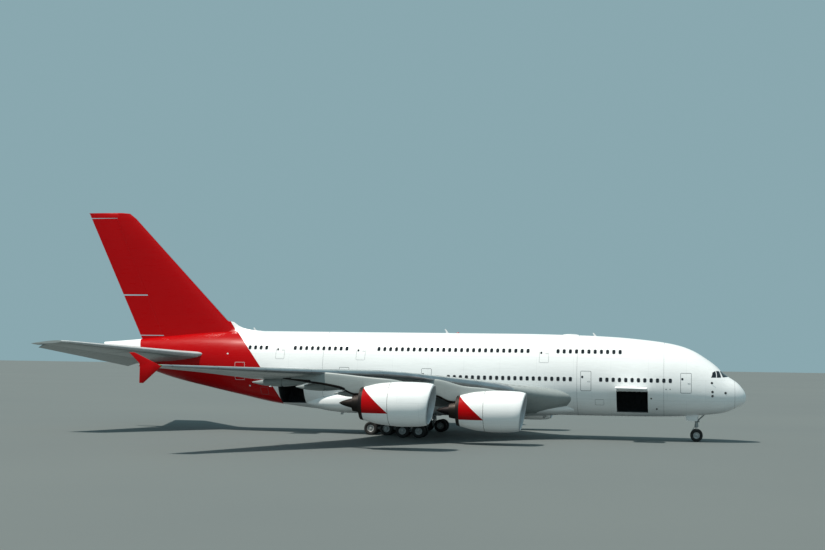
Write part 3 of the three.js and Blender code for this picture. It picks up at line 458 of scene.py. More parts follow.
def hull_side(x, z):
    """Half width of the fuselage at a station and a height."""
    top, bottom, half, widest = hull_at(x)
    lift = max(top - widest if z > widest else widest - bottom, 1e-6)
    return half * max(0.0, 1 - abs((z - widest) / lift) ** HULL_POWER) ** (1 / HULL_POWER)


def on_hull(x, z, lift=0.0):
    """The place on the starboard skin at a station and a height, lifted off along the normal."""
    reach = 0.02
    slope_x = (hull_side(x + reach, z) - hull_side(x - reach, z)) / (2 * reach)
    slope_z = (hull_side(x, z + reach) - hull_side(x, z - reach)) / (2 * reach)
    return Vector((x, hull_side(x, z), z)) + lift * Vector((-slope_x, 1, -slope_z)).normalized()


def on_nose(y, z, lift=0.0):
    """The place on the nose at a given offset and height, found by halving along the body."""
    near, far = NOSE_SEARCH
    for _ in range(HALVINGS):
        middle = (near + far) / 2
        if hull_side(middle, z) < y:
            near = middle
        else:
            far = middle
    return on_hull(far, z, lift)


def only(kind, parts):
    return [part for part in parts if isinstance(part, kind)]


def everything(bm):
    return bm.verts[:] + bm.edges[:] + bm.faces[:]


def face_outward(bm):
    bmesh.ops.recalc_face_normals(bm, faces=bm.faces[:])


def paint(faces, finish, chosen=lambda middle: True):
    """Mark the faces whose middle is chosen with a finish."""
    for face in faces:
        if chosen(face.calc_center_median()):
            face.material_index = MARK[finish]


def unmarked(bm):
    return [face for face in bm.faces if face.material_index == MARK["own"]]


def score(bm, point, normal, geom=None):
    """Cut edges into a mesh along a plane."""
    bmesh.ops.bisect_plane(bm, geom=geom or everything(bm), plane_co=point, plane_no=normal, dist=CUT_LIMIT)


def move(bm, offset):
    bmesh.ops.translate(bm, verts=bm.verts[:], vec=offset)


def swing(bm, angle, axis, centre=(0, 0, 0)):
    bmesh.ops.rotate(bm, verts=bm.verts[:], cent=centre, matrix=Matrix.Rotation(angle, 3, axis))


def join(bm, other, finish=None):
    """Add another mesh to this one, marked with a finish where one is given."""
    if finish:
        paint(other.faces, finish)
    mesh = bpy.data.meshes.new("joining")
    other.to_mesh(mesh)
    other.free()
    bm.from_mesh(mesh)
    bpy.data.meshes.remove(mesh)


def sheet(bm, columns, rows, place):
    """A grid laid on the places that a function gives for shares across and up."""
    for vert in bmesh.ops.create_grid(bm, x_segments=columns, y_segments=rows, size=0.5)["verts"]:
        vert.co = place(vert.co.x + 0.5, vert.co.y + 0.5)


def ball(bm, segments, rings, centre, radii):
    matrix = Matrix.Translation(centre) @ Matrix.Diagonal((*radii, 1.0))
    bmesh.ops.create_uvsphere(bm, u_segments=segments, v_segments=rings, radius=1.0, matrix=matrix)


def loft(bm, rings):
    """A closed skin over a row of matching rings, extruded from each ring to the next."""
    def edges(loop):
        return [bm.edges.get(pair) for pair in zip(loop, loop[1:] + loop[:1])]

    first = loop = bmesh.ops.create_circle(bm, segments=len(rings[0]), radius=1.0)["verts"]
    for k, ring in enumerate(rings):
        if k:
            fresh = set(only(bmesh.types.BMVert, bmesh.ops.extrude_edge_only(bm, edges=edges(loop))["geom"]))
            loop = [next(e.other_vert(v) for e in v.link_edges if e.other_vert(v) in fresh) for v in loop]
        for vert, place in zip(loop, ring):
            vert.co = place
    for end in (first, loop):
        bmesh.ops.contextual_create(bm, geom=edges(end))
    face_outward(bm)


def turned(bm, profile, segments, closed=True, finish="own"):
    """A profile of (x, radius) spun about the x axis."""
    before = set(bm.faces)
    verts = [bm.verts.new((x, 0, radius)) for x, radius in profile]
    pairs = zip(verts, verts[1:] + verts[:1]) if closed else zip(verts, verts[1:])
    edges = [bm.edges.new(pair) for pair in pairs]
    bmesh.ops.spin(bm, geom=verts + edges, cent=(0, 0, 0), axis=X_AXIS, angle=2 * math.pi,
                   steps=segments, use_merge=True)
    on_axis = {v for face in set(bm.faces) - before for v in face.verts if v.co.yz.length < ON_AXIS}
    bmesh.ops.remove_doubles(bm, verts=list(on_axis), dist=MERGE)
    made = [face for face in bm.faces if face not in before]
    bmesh.ops.recalc_face_normals(bm, faces=made)
    paint(made, finish)


def rod(bm, start, end, radius, end_radius=None, segments=ROD_SIDES, finish="own"):
    """A round rod between two places."""
    start, end = Vector(start), Vector(end)
    turn = (end - start).to_track_quat("Z", "Y").to_matrix().to_4x4()
    made = bmesh.ops.create_cone(
        bm, cap_ends=True, segments=segments, radius1=radius,
        radius2=radius if end_radius is None else end_radius, depth=(end - start).length,
        matrix=Matrix.Translation((start + end) / 2) @ turn)["verts"]
    paint({face for vert in made for face in vert.link_faces}, finish)


def finish_edges(bm, faces, ease, finish):
    """Mark faces with a finish and ease their edges by a small bevel."""
    paint(faces, finish)
    if ease > 0:
        edges = list({edge for face in faces for edge in face.edges})
        bmesh.ops.bevel(bm, geom=edges, offset=ease, segments=2, profile=0.5, affect="EDGES", material=-1,
                        clamp_overlap=True)


def block(bm, low, high, ease=0.0, finish="own"):
    """A block between two corners."""
    low, high = Vector(low), Vector(high)
    matrix = Matrix.Translation((low + high) / 2) @ Matrix.Diagonal((*(high - low), 1.0))
    made = bmesh.ops.create_cube(bm, size=1.0, matrix=matrix)["verts"]
    finish_edges(bm, {face for vert in made for face in vert.link_faces}, ease, finish)


def plate(bm, outline, low, high, axis, ease=0.0, finish="own"):
    """A flat plate of a given outline between two places along an axis."""
    along = "xyz".index(axis)
    verts = bmesh.ops.create_circle(bm, cap_ends=True, segments=len(outline), radius=1.0)["verts"]
    for vert, (u, v) in zip(verts, outline):
        place = [u, v]
        place.insert(along, low)
        vert.co = place
    grown = bmesh.ops.extrude_face_region(bm, geom=[verts[0].link_faces[0]])["geom"]
    far = only(bmesh.types.BMVert, grown)
    for vert in far:
        vert.co[along] = high
    faces = list({face for vert in verts + far for face in vert.link_faces})
    bmesh.ops.recalc_face_normals(bm, faces=faces)
    finish_edges(bm, faces, ease, finish)


def keep_inside(bm, *planes):
    """Cut off what lies outside planes, each a point and a normal that points in, and close the cuts."""
    for point, normal in planes:
        cut = bmesh.ops.bisect_plane(bm, geom=everything(bm), plane_co=point, plane_no=-normal,
                                     clear_outer=True, dist=CUT_LIMIT)["geom_cut"]
        edges = only(bmesh.types.BMEdge, cut)
        if edges:
            bmesh.ops.edgeloop_fill(bm, edges=edges)
        face_outward(bm)


def cut_bay(bm, front, ends):
    """Cut out of a lifting surface what lies behind the front plane and between both end planes, and
    wall the bay. Each plane is a point and a normal that points into the bay."""
    planes = [front, *ends]
    for point, normal in planes:
        score(bm, point, normal)
    inside = [f for f in bm.faces
              if all((f.calc_center_median() - point).dot(normal) > CUT_LIMIT for point, normal in planes)]
    bmesh.ops.delete(bm, geom=inside, context="FACES")

    def on(vert, plane):
        return abs((vert.co - plane[0]).dot(plane[1])) < ON_PLANE

    rims = [[e for e in bm.edges if e.is_boundary and all(on(v, plane) for v in e.verts)] for plane in planes]
    corners = []
    for end in ends:
        pair = [v for v in bm.verts if v.is_boundary and on(v, front) and on(v, end)]
        corners.append(bm.edges.get(pair) or bm.edges.new(pair))
    for edges in (rims[0] + corners, rims[1] + corners[:1], rims[2] + corners[1:]):
        bmesh.ops.edgeloop_fill(bm, edges=edges)
    face_outward(bm)


def add_piece(name, bm, own, body="airframe", replaces=()):
    """Turn a mesh in full-size places into a finished piece that rides on its body. Faces with no mark
    get the piece's own finish."""
    if not FINISHES:
        make_finishes(bpy.context.scene.airliner_colours)
    bm.transform(TO_FRAME)
    marks = sorted({face.material_index for face in bm.faces})
    for face in bm.faces:
        face.material_index = marks.index(face.material_index)
    mesh = bpy.data.meshes.new(name)
    bm.to_mesh(mesh)
    bm.free()
    for mark in marks:
        mesh.materials.append(FINISHES[list(MARK)[mark] if mark else own])
    mesh.shade_smooth()
    mesh.set_sharp_from_angle(angle=SHARP_ANGLE)
    piece = bpy.data.objects.new(name, mesh)
    bpy.context.scene.collection.objects.link(piece)
    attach(piece, body)
    if replaces:
        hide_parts(*replaces)


def add_both(name, bm, own, body=None, node=None):
    """The piece made to starboard and its mirrored copy to port, with their own bodies and nodes."""
    for side, way in SIDES:
        mesh = bm.copy()
        if way < 0:
            bmesh.ops.scale(mesh, vec=(1, -1, 1), verts=mesh.verts[:])
            bmesh.ops.reverse_faces(mesh, faces=mesh.faces[:])
        add_piece(f"{side}_{name}", mesh, own, f"{side}_{body}" if body else "airframe",
                  (f"{side}_{node}",) if node else ())
    bm.free()


# Lifting surfaces

CHORD_STEPS = 26
# The round nose of a hinged surface: share of the thickness there, sides, and where it ends behind the hinge
NOSE_SHARE = 0.96
NOSE_SIDES = 32
NOSE_END = 0.02
# The hollow ahead of it: how far in front of the hinge, with a share of the thickness more
COVE = (0.01, 0.62)
RUDDER_END_GAP = 0.09
# Sections added between the tables' own, where a surface is cut or curves
WING_EXTRA = (*spread(3.0, 6.6, 9), 11, 23, 28, 32.5, 38)
FLAP_EXTRA = (5, 11, 23)
TAILPLANE_EXTRA = (2.25, 2.55, 2.85, 3.2, 3.55, 3.9, 5, 11)
FIN_EXTRA = (12, 16, 20)


def half_thickness(ratio, share):
    root = 0.2969 * math.sqrt(share) - 0.126 * share - 0.3516 * share ** 2 + 0.2843 * share ** 3
    return 5 * ratio * (root - 0.1015 * share ** 4) + 0.0006 * share


def surface_point(row, share, side, camber):
    """A place on a lifting surface lying flat, at a share of the chord, above or below the mid line."""
    span, leading, height, chord, incidence, ratio = row
    tilt = math.radians(incidence)
    along = share * chord
    up = chord * 4 * camber * share * (1 - share) + side * chord * half_thickness(ratio, share)
    return Vector((leading + along * math.cos(tilt) + up * math.sin(tilt), span,
                   height + up * math.cos(tilt) - along * math.sin(tilt)))


def surface_at(table, camber, x, span, side):
    """The place on a lifting surface over or under a place in plan."""
    row = straight(table, span)
    return surface_point(row, min(max((x - row[1]) / row[3], 0.0), 1.0), side, camber)


def lifting_body(table, camber, extra=()):
    """A closed lifting surface with a smooth airfoil, in a mesh of its own."""
    bm = bmesh.new()
    shares = [(1 - math.cos(turn)) / 2 for turn in spread(0, math.pi, CHORD_STEPS)]
    rings = []
    for station in sorted({row[0] for row in table} | set(extra)):
        row = straight(table, station)
        rings.append([surface_point(row, share, -1, camber) for share in reversed(shares)]
                     + [surface_point(row, share, 1, camber) for share in shares[1:]])
    loft(bm, rings)
    return bm


class HingeLine:
    """A hinge line, with the directions along it, straight aft of it and up from both."""

    def __init__(self, start, end, halves=(0.0, 0.0)):
        self.start, self.end, self.halves = Vector(start), Vector(end), halves
        self.along = (self.end - self.start).normalized()
        sweep = math.hypot(self.along.x, self.along.y)
        self.aft = Vector((self.along.y / sweep, -self.along.x / sweep, 0))
        self.up = self.aft.cross(self.along)

    def front(self, set_back, growth=0.0):
        """The plane that stands ahead of the line, by a length and by a share of the thickness."""
        places = [end - self.aft * (set_back + growth * half)
                  for end, half in zip((self.start, self.end), self.halves)]
        normal = self.up.cross(places[1] - places[0]).normalized()
        return places[0], normal if normal.dot(self.aft) > 0 else -normal

    def ends(self, gap, square=True):
        """The planes at both ends, moved out by a gap; they point in."""
        across = self.along if square else Y_AXIS
        return ((self.start - self.along * gap, across), (self.end + self.along * gap, -across))


def coaxial_line(table, camber, ends):
    """The hinge line through the middle of a surface's thickness at both ends."""
    places, halves = [], []
    for span, x in ends:
        low, high = (surface_at(table, camber, x, span, side).z for side in (-1, 1))
        places.append((x, span, (low + high) / 2))
        halves.append((high - low) / 2)
    return HingeLine(*places, halves=halves)


def hinged_surface(table, camber, line, square=True):
    """The moving part behind a hinge line, with a round nose about it."""
    ends = line.ends(0.0, square)
    bm = lifting_body(table, camber, (line.start.y, line.end.y))
    keep_inside(bm, line.front(0.0), *ends)
    nose = bmesh.new()
    taper = (line.halves[1] - line.halves[0]) / (line.end - line.start).length
    rod(nose, line.start - line.along, line.end + line.along,
        NOSE_SHARE * (line.halves[0] - taper), NOSE_SHARE * (line.halves[1] + taper), NOSE_SIDES)
    keep_inside(nose, *ends, (line.start + line.aft * NOSE_END, -line.aft))
    join(bm, nose)
    return bm


def near_edge(table, share, extra, innermost=0.0):
    """A test for places within a share of the chord and a length of a surface's leading edge."""
    def test(place):
        row = straight(table, min(max(place.y, table[0][0]), table[-1][0]))
        return place.y > innermost and place.x - row[1] < share * row[3] + extra
    return test


# Pieces

# The red of the rear body: a place on its slanted front edge, the planes there, and the white tail cone's
RED_START = Vector((54.8, 0, 10.9))
RED_NORMALS = {side: Vector((1, side * 0.327, -0.70)).normalized() for side in (1, -1)}
WHITE_CONE = (Vector((65.66, 0, 9.0)), Vector((1, 0, -0.3)).normalized())
HULL_RING = 112
FAIRING_RING = 96
# Rings of the fuselage: stations that grow as squares at the nose, then even steps, then the tail's own
NOSE_STATIONS = [0.0012, *((0.1 * k) ** 2 for k in range(1, 34))]
TAIL_STATIONS = [69.2, 69.6, 70.0, 70.35]
EXHAUST_RIM = 0.09
EXHAUST_DEPTH = 0.6
# How far beyond a doorway's ends its cuts may reach, and how far its rim's edges may lie off
CUT_REACH = 2.5
RIM_SLACK = 0.01


def in_red(place):
    return ((place - RED_START).dot(RED_NORMALS[1 if place.y > 0 else -1]) > 0
            and (place - WHITE_CONE[0]).dot(WHITE_CONE[1]) < 0)


def starboard_faces(bm, front, rear):
    """The faces to starboard whose middles lie between two stations."""
    middles = ((face, face.calc_center_median()) for face in bm.faces)
    return [face for face, middle in middles if middle.y > 0 and front < middle.x < rear]


def wall_at(outline, z):
    """How far out the lining of a hold lies at a height."""
    (y0, z0), (y1, z1), (y2, z2) = outline
    if z < z1:
        return y0 + (y1 - y0) * max(0.0, z - z0) / (z1 - z0)
    return y1 + (y2 - y1) * min(1.0, (z - z1) / (z2 - z1))


class AIRLINER_OT_fuselage(bpy.types.Operator):
    """Fuselage skin with its painted rear body, doorway reveals and exhaust end"""

    bl_idname = "airliner.fuselage"
    bl_label = "Fuselage skin"

    def execute(self, context):
        bm = bmesh.new()
        stations = NOSE_STATIONS + spread(NOSE_STATIONS[-1], TAIL_STATIONS[0], 64)[1:] + TAIL_STATIONS[1:]
        loft(bm, [oval(x, *hull_at(x), HULL_POWER, HULL_RING) for x in stations])
        self.exhaust(bm)
        for plane in ((RED_START, RED_NORMALS[1]), (RED_START, RED_NORMALS[-1]), WHITE_CONE):
            score(bm, *plane)
        paint(unmarked(bm), "red", in_red)
        for hold in HOLDS.values():
            self.doorway(bm, hold)
        bm.normal_update()
        sections = [f"{name}_section" for name in ("nose", "forward", "centre", "aft", "tail")]
        add_piece("fuselage_skin", bm, "white", replaces=sections)

        bm = bmesh.new()
        rings = []
        for x in spread(FAIRING[0][0], FAIRING[-1][0], 59):
            half, top, bottom = fairing_at(x)
            rings.append(oval(x, top, bottom, half, None, FAIRING_POWER, FAIRING_RING))
        loft(bm, rings)
        add_piece("belly_fairing_skin", bm, "white", replaces=("belly_fairing",))
        return {"FINISHED"}

    def exhaust(self, bm):
        """The auxiliary unit's exhaust: a short dark pipe inside the body's end."""
        end = next(f for f in bm.faces if len(f.verts) == HULL_RING and f.verts[0].co.x > TAIL_STATIONS[0])
        bmesh.ops.inset_region(bm, faces=[end], thickness=EXHAUST_RIM, use_even_offset=True)
        deep = only(bmesh.types.BMVert, bmesh.ops.extrude_face_region(bm, geom=[end])["geom"])
        bmesh.ops.delete(bm, geom=[end], context="FACES_ONLY")
        bmesh.ops.translate(bm, verts=deep, vec=(-EXHAUST_DEPTH, 0, 0))
        paint({face for vert in deep for face in vert.link_faces}, "nozzle")
        face_outward(bm)

    def doorway(self, bm, hold):
        """Cut a doorway into the skin and lead its rim in to the hold's lining."""
        (front, rear), floor = hold["doorway"], hold["outline"][0][1]
        for point, normal in ((X_AXIS * front, X_AXIS), (X_AXIS * rear, X_AXIS),
                              (Z_AXIS * floor, Z_AXIS), (Z_AXIS * DOORWAY_TOP, Z_AXIS)):
            near = starboard_faces(bm, front - CUT_REACH, rear + CUT_REACH)
            parts = {part for face in near for part in (*face.verts, *face.edges)}
            score(bm, point, normal, [*parts, *near])
        opening = [face for face in starboard_faces(bm, front, rear)
                   if floor < face.calc_center_median().z < DOORWAY_TOP]
        bmesh.ops.delete(bm, geom=opening, context="FACES")
        rim = [e for e in bm.edges if e.is_boundary
               and all(front - RIM_SLACK < v.co.x < rear + RIM_SLACK for v in e.verts)]
        made = bmesh.ops.extrude_edge_only(bm, edges=rim)["geom"]
        for vert in only(bmesh.types.BMVert, made):
            vert.co.y = wall_at(hold["outline"], vert.co.z)
        # The reveal takes the liner's dark grey, painted shade of the hold
        paint(only(bmesh.types.BMFace, made), "liner")


# How far across a lining's face must look to count as wall
WALL_FACING = 0.3
HOLD_TRACKS = (-1.0, -0.35, 0.35, 1.0)
# A roller track: distance from the hold's ends, half its width, lower and upper side over the floor, bevel
TRACK_END, TRACK_HALF, TRACK_LOW, TRACK_HIGH, TRACK_EASE = 0.1, 0.04, 0.002, 0.03, 0.006
# Wall ribs of a hold: first one, spacing, heights of the lower and upper end, and where the wall is read;
# then their radius, how far before the hold's end the last one may stand, how far off the doorway
HOLD_RIBS = (0.3, 0.55, 3.75, 4.9, 4.6)
HOLD_RIB_RADIUS, LAST_RIB, RIB_CLEARANCE = 0.03, 0.2, 0.1
# A cargo door: its skin's thickness, its inner parts' depth behind the skin, half a rib's width
DOOR_SKIN = 0.05
RIB_START = 0.045
RIB_HALF = 0.03
STRINGER_DEPTH = DOOR_THICKNESS - 0.02
# Its ribs, then its stringers: how far the outer ones stand in from the edges, how far their ends do,
# number of spaces between them, steps along each
DOOR_RIBS, DOOR_STRINGERS = (0.16, 0.05, 6, 14), (0.12, 0.1, 4, 3)
# How far in from the doorway's ends the arms, the outer lugs and the hinge pin lie, and half an arm's width
ARM_INSET, LUG_INSET, PIN_INSET, ARM_HALF = 0.8, 0.5, 0.4, 0.1
# Outlines of a door's arm, which passes round the doorway's upper edge, and of a lug, from the hinge
DOOR_ARM = ((-0.22, -0.35), (-0.14, -0.18), (-0.06, -0.13), (-0.045, -0.02), (0, -0.05), (-0.02, -0.19),
            (-0.11, -0.33))
DOOR_LUG = ((-0.30, 0.12), (-0.30, -0.045), (-0.02, -0.045), (0.03, 0.04))
KNUCKLE = (0.11, 0.05)
HINGE_PIN = 0.02


class AIRLINER_OT_holds(bpy.types.Operator):
    """Linings, floors and roller tracks of the two open cargo holds, and their open doors"""

    bl_idname = "airliner.holds"
    bl_label = "Cargo holds and doors"

    def execute(self, context):
        for name, hold in HOLDS.items():
            self.lining(name, hold)
            self.door(name, hold)
        return {"FINISHED"}

    def lining(self, name, hold):
        bm = bmesh.new()
        outline, (front, rear), (first, last) = hold["outline"], hold["doorway"], hold["hold"]
        width, floor = outline[0]
        section = [*outline, *((-y, z) for y, z in reversed(outline))]
        loft(bm, [[Vector((x, y, z)) for y, z in section] for x in (first, last)])
        for x in (front, rear):
            score(bm, X_AXIS * x, X_AXIS)
        open_side = [f for f in starboard_faces(bm, front, rear)
                     if f.calc_center_median().y > width and abs(f.normal.y) > WALL_FACING]
        bmesh.ops.delete(bm, geom=open_side, context="FACES")
        bmesh.ops.reverse_faces(bm, faces=bm.faces[:])
        paint([face for face in bm.faces if face.normal.z > FACING], "hold_floor")
        for track in HOLD_TRACKS:
            if abs(track) < width:
                block(bm, (first + TRACK_END, track - TRACK_HALF, floor + TRACK_LOW),
                      (last - TRACK_END, track + TRACK_HALF, floor + TRACK_HIGH), TRACK_EASE, "hold_floor")
        start, pitch, low, high, top = HOLD_RIBS
        x = first + start
        while x < last - LAST_RIB:
            for side in (-1, 1):
                if side < 0 or not front - RIB_CLEARANCE < x < rear + RIB_CLEARANCE:
                    feet = [(x, side * (wall_at(outline, z) - HOLD_RIB_RADIUS)) for z in (low, top)]
                    rod(bm, (*feet[0], low), (*feet[1], high), HOLD_RIB_RADIUS, segments=8)
            x += pitch
        # The lining's dark grey is painted shade of the hold's inside
        add_piece(f"{name}_hold_lining", bm, "liner")

    def door(self, name, hold):
        (front, rear), (hinge_y, hinge_z) = hold["doorway"], hold["hinge"]
        low, high = hold["outline"][0][1] + SWING_GAP, DOORWAY_TOP - DOOR_TOP_GAP
        first, last = front + SWING_GAP, rear - SWING_GAP
        bm = bmesh.new()
        sheet(bm, 28, 26, lambda u, v: on_hull(first + u * (last - first), low + v * (high - low)))
        bm.normal_update()
        if sum(face.normal.y for face in bm.faces) < 0:
            bmesh.ops.reverse_faces(bm, faces=bm.faces[:])
        bmesh.ops.solidify(bm, geom=bm.faces[:], thickness=DOOR_SKIN)
        # Ribs and stringers on the inner side, under the outer skin
        inset, short, spaces, steps = DOOR_RIBS
        for x in spread(front + inset, rear - inset, spaces):
            zs = (low + short, high - short)
            self.rib(bm, (x - RIB_HALF, x + RIB_HALF), zs, DOOR_THICKNESS, steps, True)
        inset, short, spaces, steps = DOOR_STRINGERS
        for z in spread(low + inset, high - inset, spaces):
            xs = (front + short, rear - short)
            self.rib(bm, xs, (z - RIB_HALF, z + RIB_HALF), STRINGER_DEPTH, steps, False)
        knuckle, radius = KNUCKLE
        for x in (front + ARM_INSET, rear - ARM_INSET):
            rod(bm, (x - knuckle, hinge_y, hinge_z), (x + knuckle, hinge_y, hinge_z), radius, None, 16, "leg")
            arm = [(hinge_y + y, hinge_z + z) for y, z in DOOR_ARM]
            plate(bm, arm, x - ARM_HALF, x + ARM_HALF, "x", 0, "leg")
        swing(bm, DOOR_OPEN, "X", (0, hinge_y, hinge_z))
        door = f"{name}_cargo_door"
        add_piece(f"{door}_panel", bm, "white", door, (door,))
        lugs = bmesh.new()
        for x in (front + LUG_INSET, (front + rear) / 2, rear - LUG_INSET):
            rod(lugs, (x - knuckle, hinge_y, hinge_z), (x + knuckle, hinge_y, hinge_z), radius, None, 16)
            plate(lugs, [(hinge_y + y, hinge_z + z) for y, z in DOOR_LUG], x - knuckle, x + knuckle, "x")
        pin = [(x, hinge_y, hinge_z) for x in (front + PIN_INSET, rear - PIN_INSET)]
        rod(lugs, *pin, HINGE_PIN, None, 12)
        add_piece(f"{door}_lugs", lugs, "leg")

    def rib(self, bm, xs, zs, depth, steps, upright):
        """A rib on the door's inner side, which follows its curve."""
        rings = []
        for share in spread(0, 1, steps):
            if upright:
                ends = [(x, zs[0] + (zs[1] - zs[0]) * share) for x in xs]
            else:
                ends = [(xs[0] + (xs[1] - xs[0]) * share, z) for z in zs]
            rings.append([on_hull(*ends[0], -RIB_START), on_hull(*ends[1], -RIB_START),
                          on_hull(*ends[1], -depth), on_hull(*ends[0], -depth)])
        part = bmesh.new()
        loft(part, rings)
        join(bm, part)


def rounded(width, height, radius, corner=3, along=1):
    """A rectangle with round corners, centred, as (u, v) places that follow its edge."""
    arcs = []
    for quarter, (u, v) in enumerate(((1, 1), (-1, 1), (-1, -1), (1, -1))):
        middle_u, middle_v = u * (width / 2 - radius), v * (height / 2 - radius)
        arcs.append([(middle_u + radius * math.cos(turn), middle_v + radius * math.sin(turn))
                     for turn in spread(quarter * math.pi / 2, (quarter + 1) * math.pi / 2, corner)])
    places = []
    for arc, after in zip(arcs, arcs[1:] + arcs[:1]):
        (u0, v0), (u1, v1) = arc[-1], after[0]
        between = spread(0, 1, along + 1)[1:-1]
        places += arc + [(u0 + (u1 - u0) * share, v0 + (v1 - v0) * share) for share in between]
    return places


def framed(bm, outline, rim, place, pane=None, frame="own"):
    """A frame of a given rim that follows a surface, with a pane in it or open inside."""
    verts = bmesh.ops.create_circle(bm, cap_ends=True, segments=len(outline), radius=1.0)["verts"]
    for vert, (u, v) in zip(verts, outline):
        vert.co = (u, 0, v)
    face = verts[0].link_faces[0]
    face.normal_update()
    made = bmesh.ops.inset_region(
        bm, faces=[face], thickness=rim, use_boundary=True, use_even_offset=True)["faces"]
    paint(made, frame)
    for vert in {v for part in [*made, face] for v in part.verts}:
        vert.co = place(vert.co.x, vert.co.z)
    if pane is None:
        bmesh.ops.delete(bm, geom=[face], context="FACES")
    else:
        paint([face], pane)


def on_skin(bm, x, z, shape, rim, lift, pane=None, frame="own"):
    """A frame on the fuselage about a place; shape is what rounded takes."""
    framed(bm, rounded(*shape), rim, lambda u, v: on_hull(x + u, z + v, lift), pane, frame)


# Height of the body's middle and of the nose's, and how far ahead of a face outward may point
BODY_MIDDLE, NOSE_MIDDLE, LEAN_FORWARD = 6.4, 5.0, 0.2


def thicken_out(bm, depth, middle=BODY_MIDDLE):
    """Turn every face away from the body's middle, then give the sheet its thickness inward."""
    bm.normal_update()
    wrong = []
    for face in bm.faces:
        _, y, z = face.calc_center_median()
        if face.normal.dot(Vector((-LEAN_FORWARD, y, z - middle))) < 0:
            wrong.append(face)
    bmesh.ops.reverse_faces(bm, faces=wrong)
    bmesh.ops.solidify(bm, geom=bm.faces[:], thickness=depth)


WINDOW_PITCH = 0.635
# Rows of cabin windows: first station, number, height of the middle
WINDOW_ROWS = (
    (7.58, 12, 6.22), (17.65, 21, 6.22), (34.30, 10, 6.22), (43.10, 14, 6.28),
    (12.65, 11, 9.06), (22.11, 26, 9.06), (41.49, 10, 9.06), (50.42, 4, 9.06),
)
# Passenger doors: middle station, width, height of the sill and of the top, share of the outline's width
CABIN_DOORS = (
    (6.02, 1.10, 4.98, 7.02, 1.0), (16.08, 1.10, 5.05, 7.08, 1.0), (32.70, 1.10, 5.05, 7.08, 1.0),
    (41.60, 1.10, 5.05, 7.08, 1.0), (20.42, 0.98, 7.86, 9.50, 0.6), (39.90, 0.98, 7.86, 9.50, 0.6),
    (48.80, 0.98, 7.86, 9.50, 0.6),
)
REAR_DOOR = (53.32, 1.15, 5.55, 7.45, 0.8)
# Service hatches low on the body: station, height, width, height of each
HATCHES = ((14.7, 3.9, 0.9, 0.6), (19.0, 3.6, 0.6, 0.5), (50.6, 4.4, 0.9, 0.8))
HATCH_CORNER, HATCH_RIM = 0.08, 0.022
WINDOW_CORNER, DOOR_CORNER = 0.13, 0.11
# A door's window and handle: shape and rim; the window from the door's rear edge and top, the handle by a
# share of the width ahead of the middle and over the sill
DOOR_WINDOW, WINDOW_SET, WINDOW_DROP = ((0.22, 0.26, 0.09, 2, 0), 0.025), 0.19, 0.62
DOOR_HANDLE, HANDLE_SHARE, HANDLE_HEIGHT = ((0.26, 0.11, 0.04, 2, 0), 0.02), 0.28, 0.95
# Height of outlines and panes off the skin, and thickness of windows, outlines and cockpit panes
LINE_LIFT, PANE_LIFT, COCKPIT_LIFT = 0.004, 0.006, 0.012
WINDOW_DEPTH, LINE_DEPTH, COCKPIT_DEPTH = 0.016, 0.014, 0.03
# Cockpit panes: corners (x, z) of the side ones and (y, z) of the front one, low front, low rear,
# high rear, high front
COCKPIT_SIDE_PANES = (
    ((3.05, 6.60), (3.54, 6.60), (3.40, 7.10), (3.13, 7.27)),
    ((2.53, 6.61), (2.97, 6.60), (3.05, 7.27), (2.74, 7.25)),
)
COCKPIT_FRONT_PANE = ((0.06, 6.70), (1.50, 6.62), (1.00, 7.21), (0.06, 7.36))


class AIRLINER_OT_windows(bpy.types.Operator):
    """Cabin windows, cockpit panes and the outlines of doors and hatches"""

    bl_idname = "airliner.windows"
    bl_label = "Windows and door outlines"

    def execute(self, context):
        sizes = context.scene.airliner_sizes
        bm = bmesh.new()
        shape = (sizes.window_width, sizes.window_height, WINDOW_CORNER, 2, 0)
        # Each pane's near-black glass is painted shade of the cabin behind it
        for first, count, height in WINDOW_ROWS:
            for k in range(count):
                on_skin(bm, first + WINDOW_PITCH * k, height, shape, sizes.window_rim, PANE_LIFT, "glass")
        thicken_out(bm, WINDOW_DEPTH)
        add_both("cabin_windows", bm, "pale_outline")

        for name, own, doors, hatches in (("door_outlines", "outline", CABIN_DOORS, HATCHES),
                                          ("rear_door_outlines", "pale_outline", (REAR_DOOR,), ())):
            bm = bmesh.new()
            for middle, width, sill, top, share in doors:
                on_skin(bm, middle, (sill + top) / 2, (width, top - sill, DOOR_CORNER, 4, 8),
                        sizes.outline_width * share, LINE_LIFT)
                rear = middle + width / 2
                # The door's window is near-black glass, painted shade of the cabin
                on_skin(bm, rear - WINDOW_SET, top - WINDOW_DROP, *DOOR_WINDOW, PANE_LIFT, "glass")
                on_skin(bm, middle - width * HANDLE_SHARE, sill + HANDLE_HEIGHT, *DOOR_HANDLE, PANE_LIFT)
            for x, z, width, height in hatches:
                on_skin(bm, x, z, (width, height, HATCH_CORNER, 3, 2), HATCH_RIM, LINE_LIFT)
            thicken_out(bm, LINE_DEPTH)
            add_both(name, bm, own)

        # Cockpit panes: near-black glass, painted shade of the flight deck behind
        bm = bmesh.new()
        for corners in COCKPIT_SIDE_PANES:
            self.pane(bm, [on_hull(x, z).yz for x, z in corners])
        self.pane(bm, [Vector(corner) for corner in COCKPIT_FRONT_PANE])
        thicken_out(bm, COCKPIT_DEPTH, NOSE_MIDDLE)
        add_both("cockpit_panes", bm, "glass")
        return {"FINISHED"}

    def pane(self, bm, corners):
        """A pane between four (y, z) corners, laid on the nose."""
        low_front, low_rear, high_rear, high_front = corners

        def place(u, v):
            y, z = low_front.lerp(low_rear, u).lerp(high_front.lerp(high_rear, u), v)
            return on_nose(max(y, 0.0), z, COCKPIT_LIFT)
        sheet(bm, 6, 6, place)


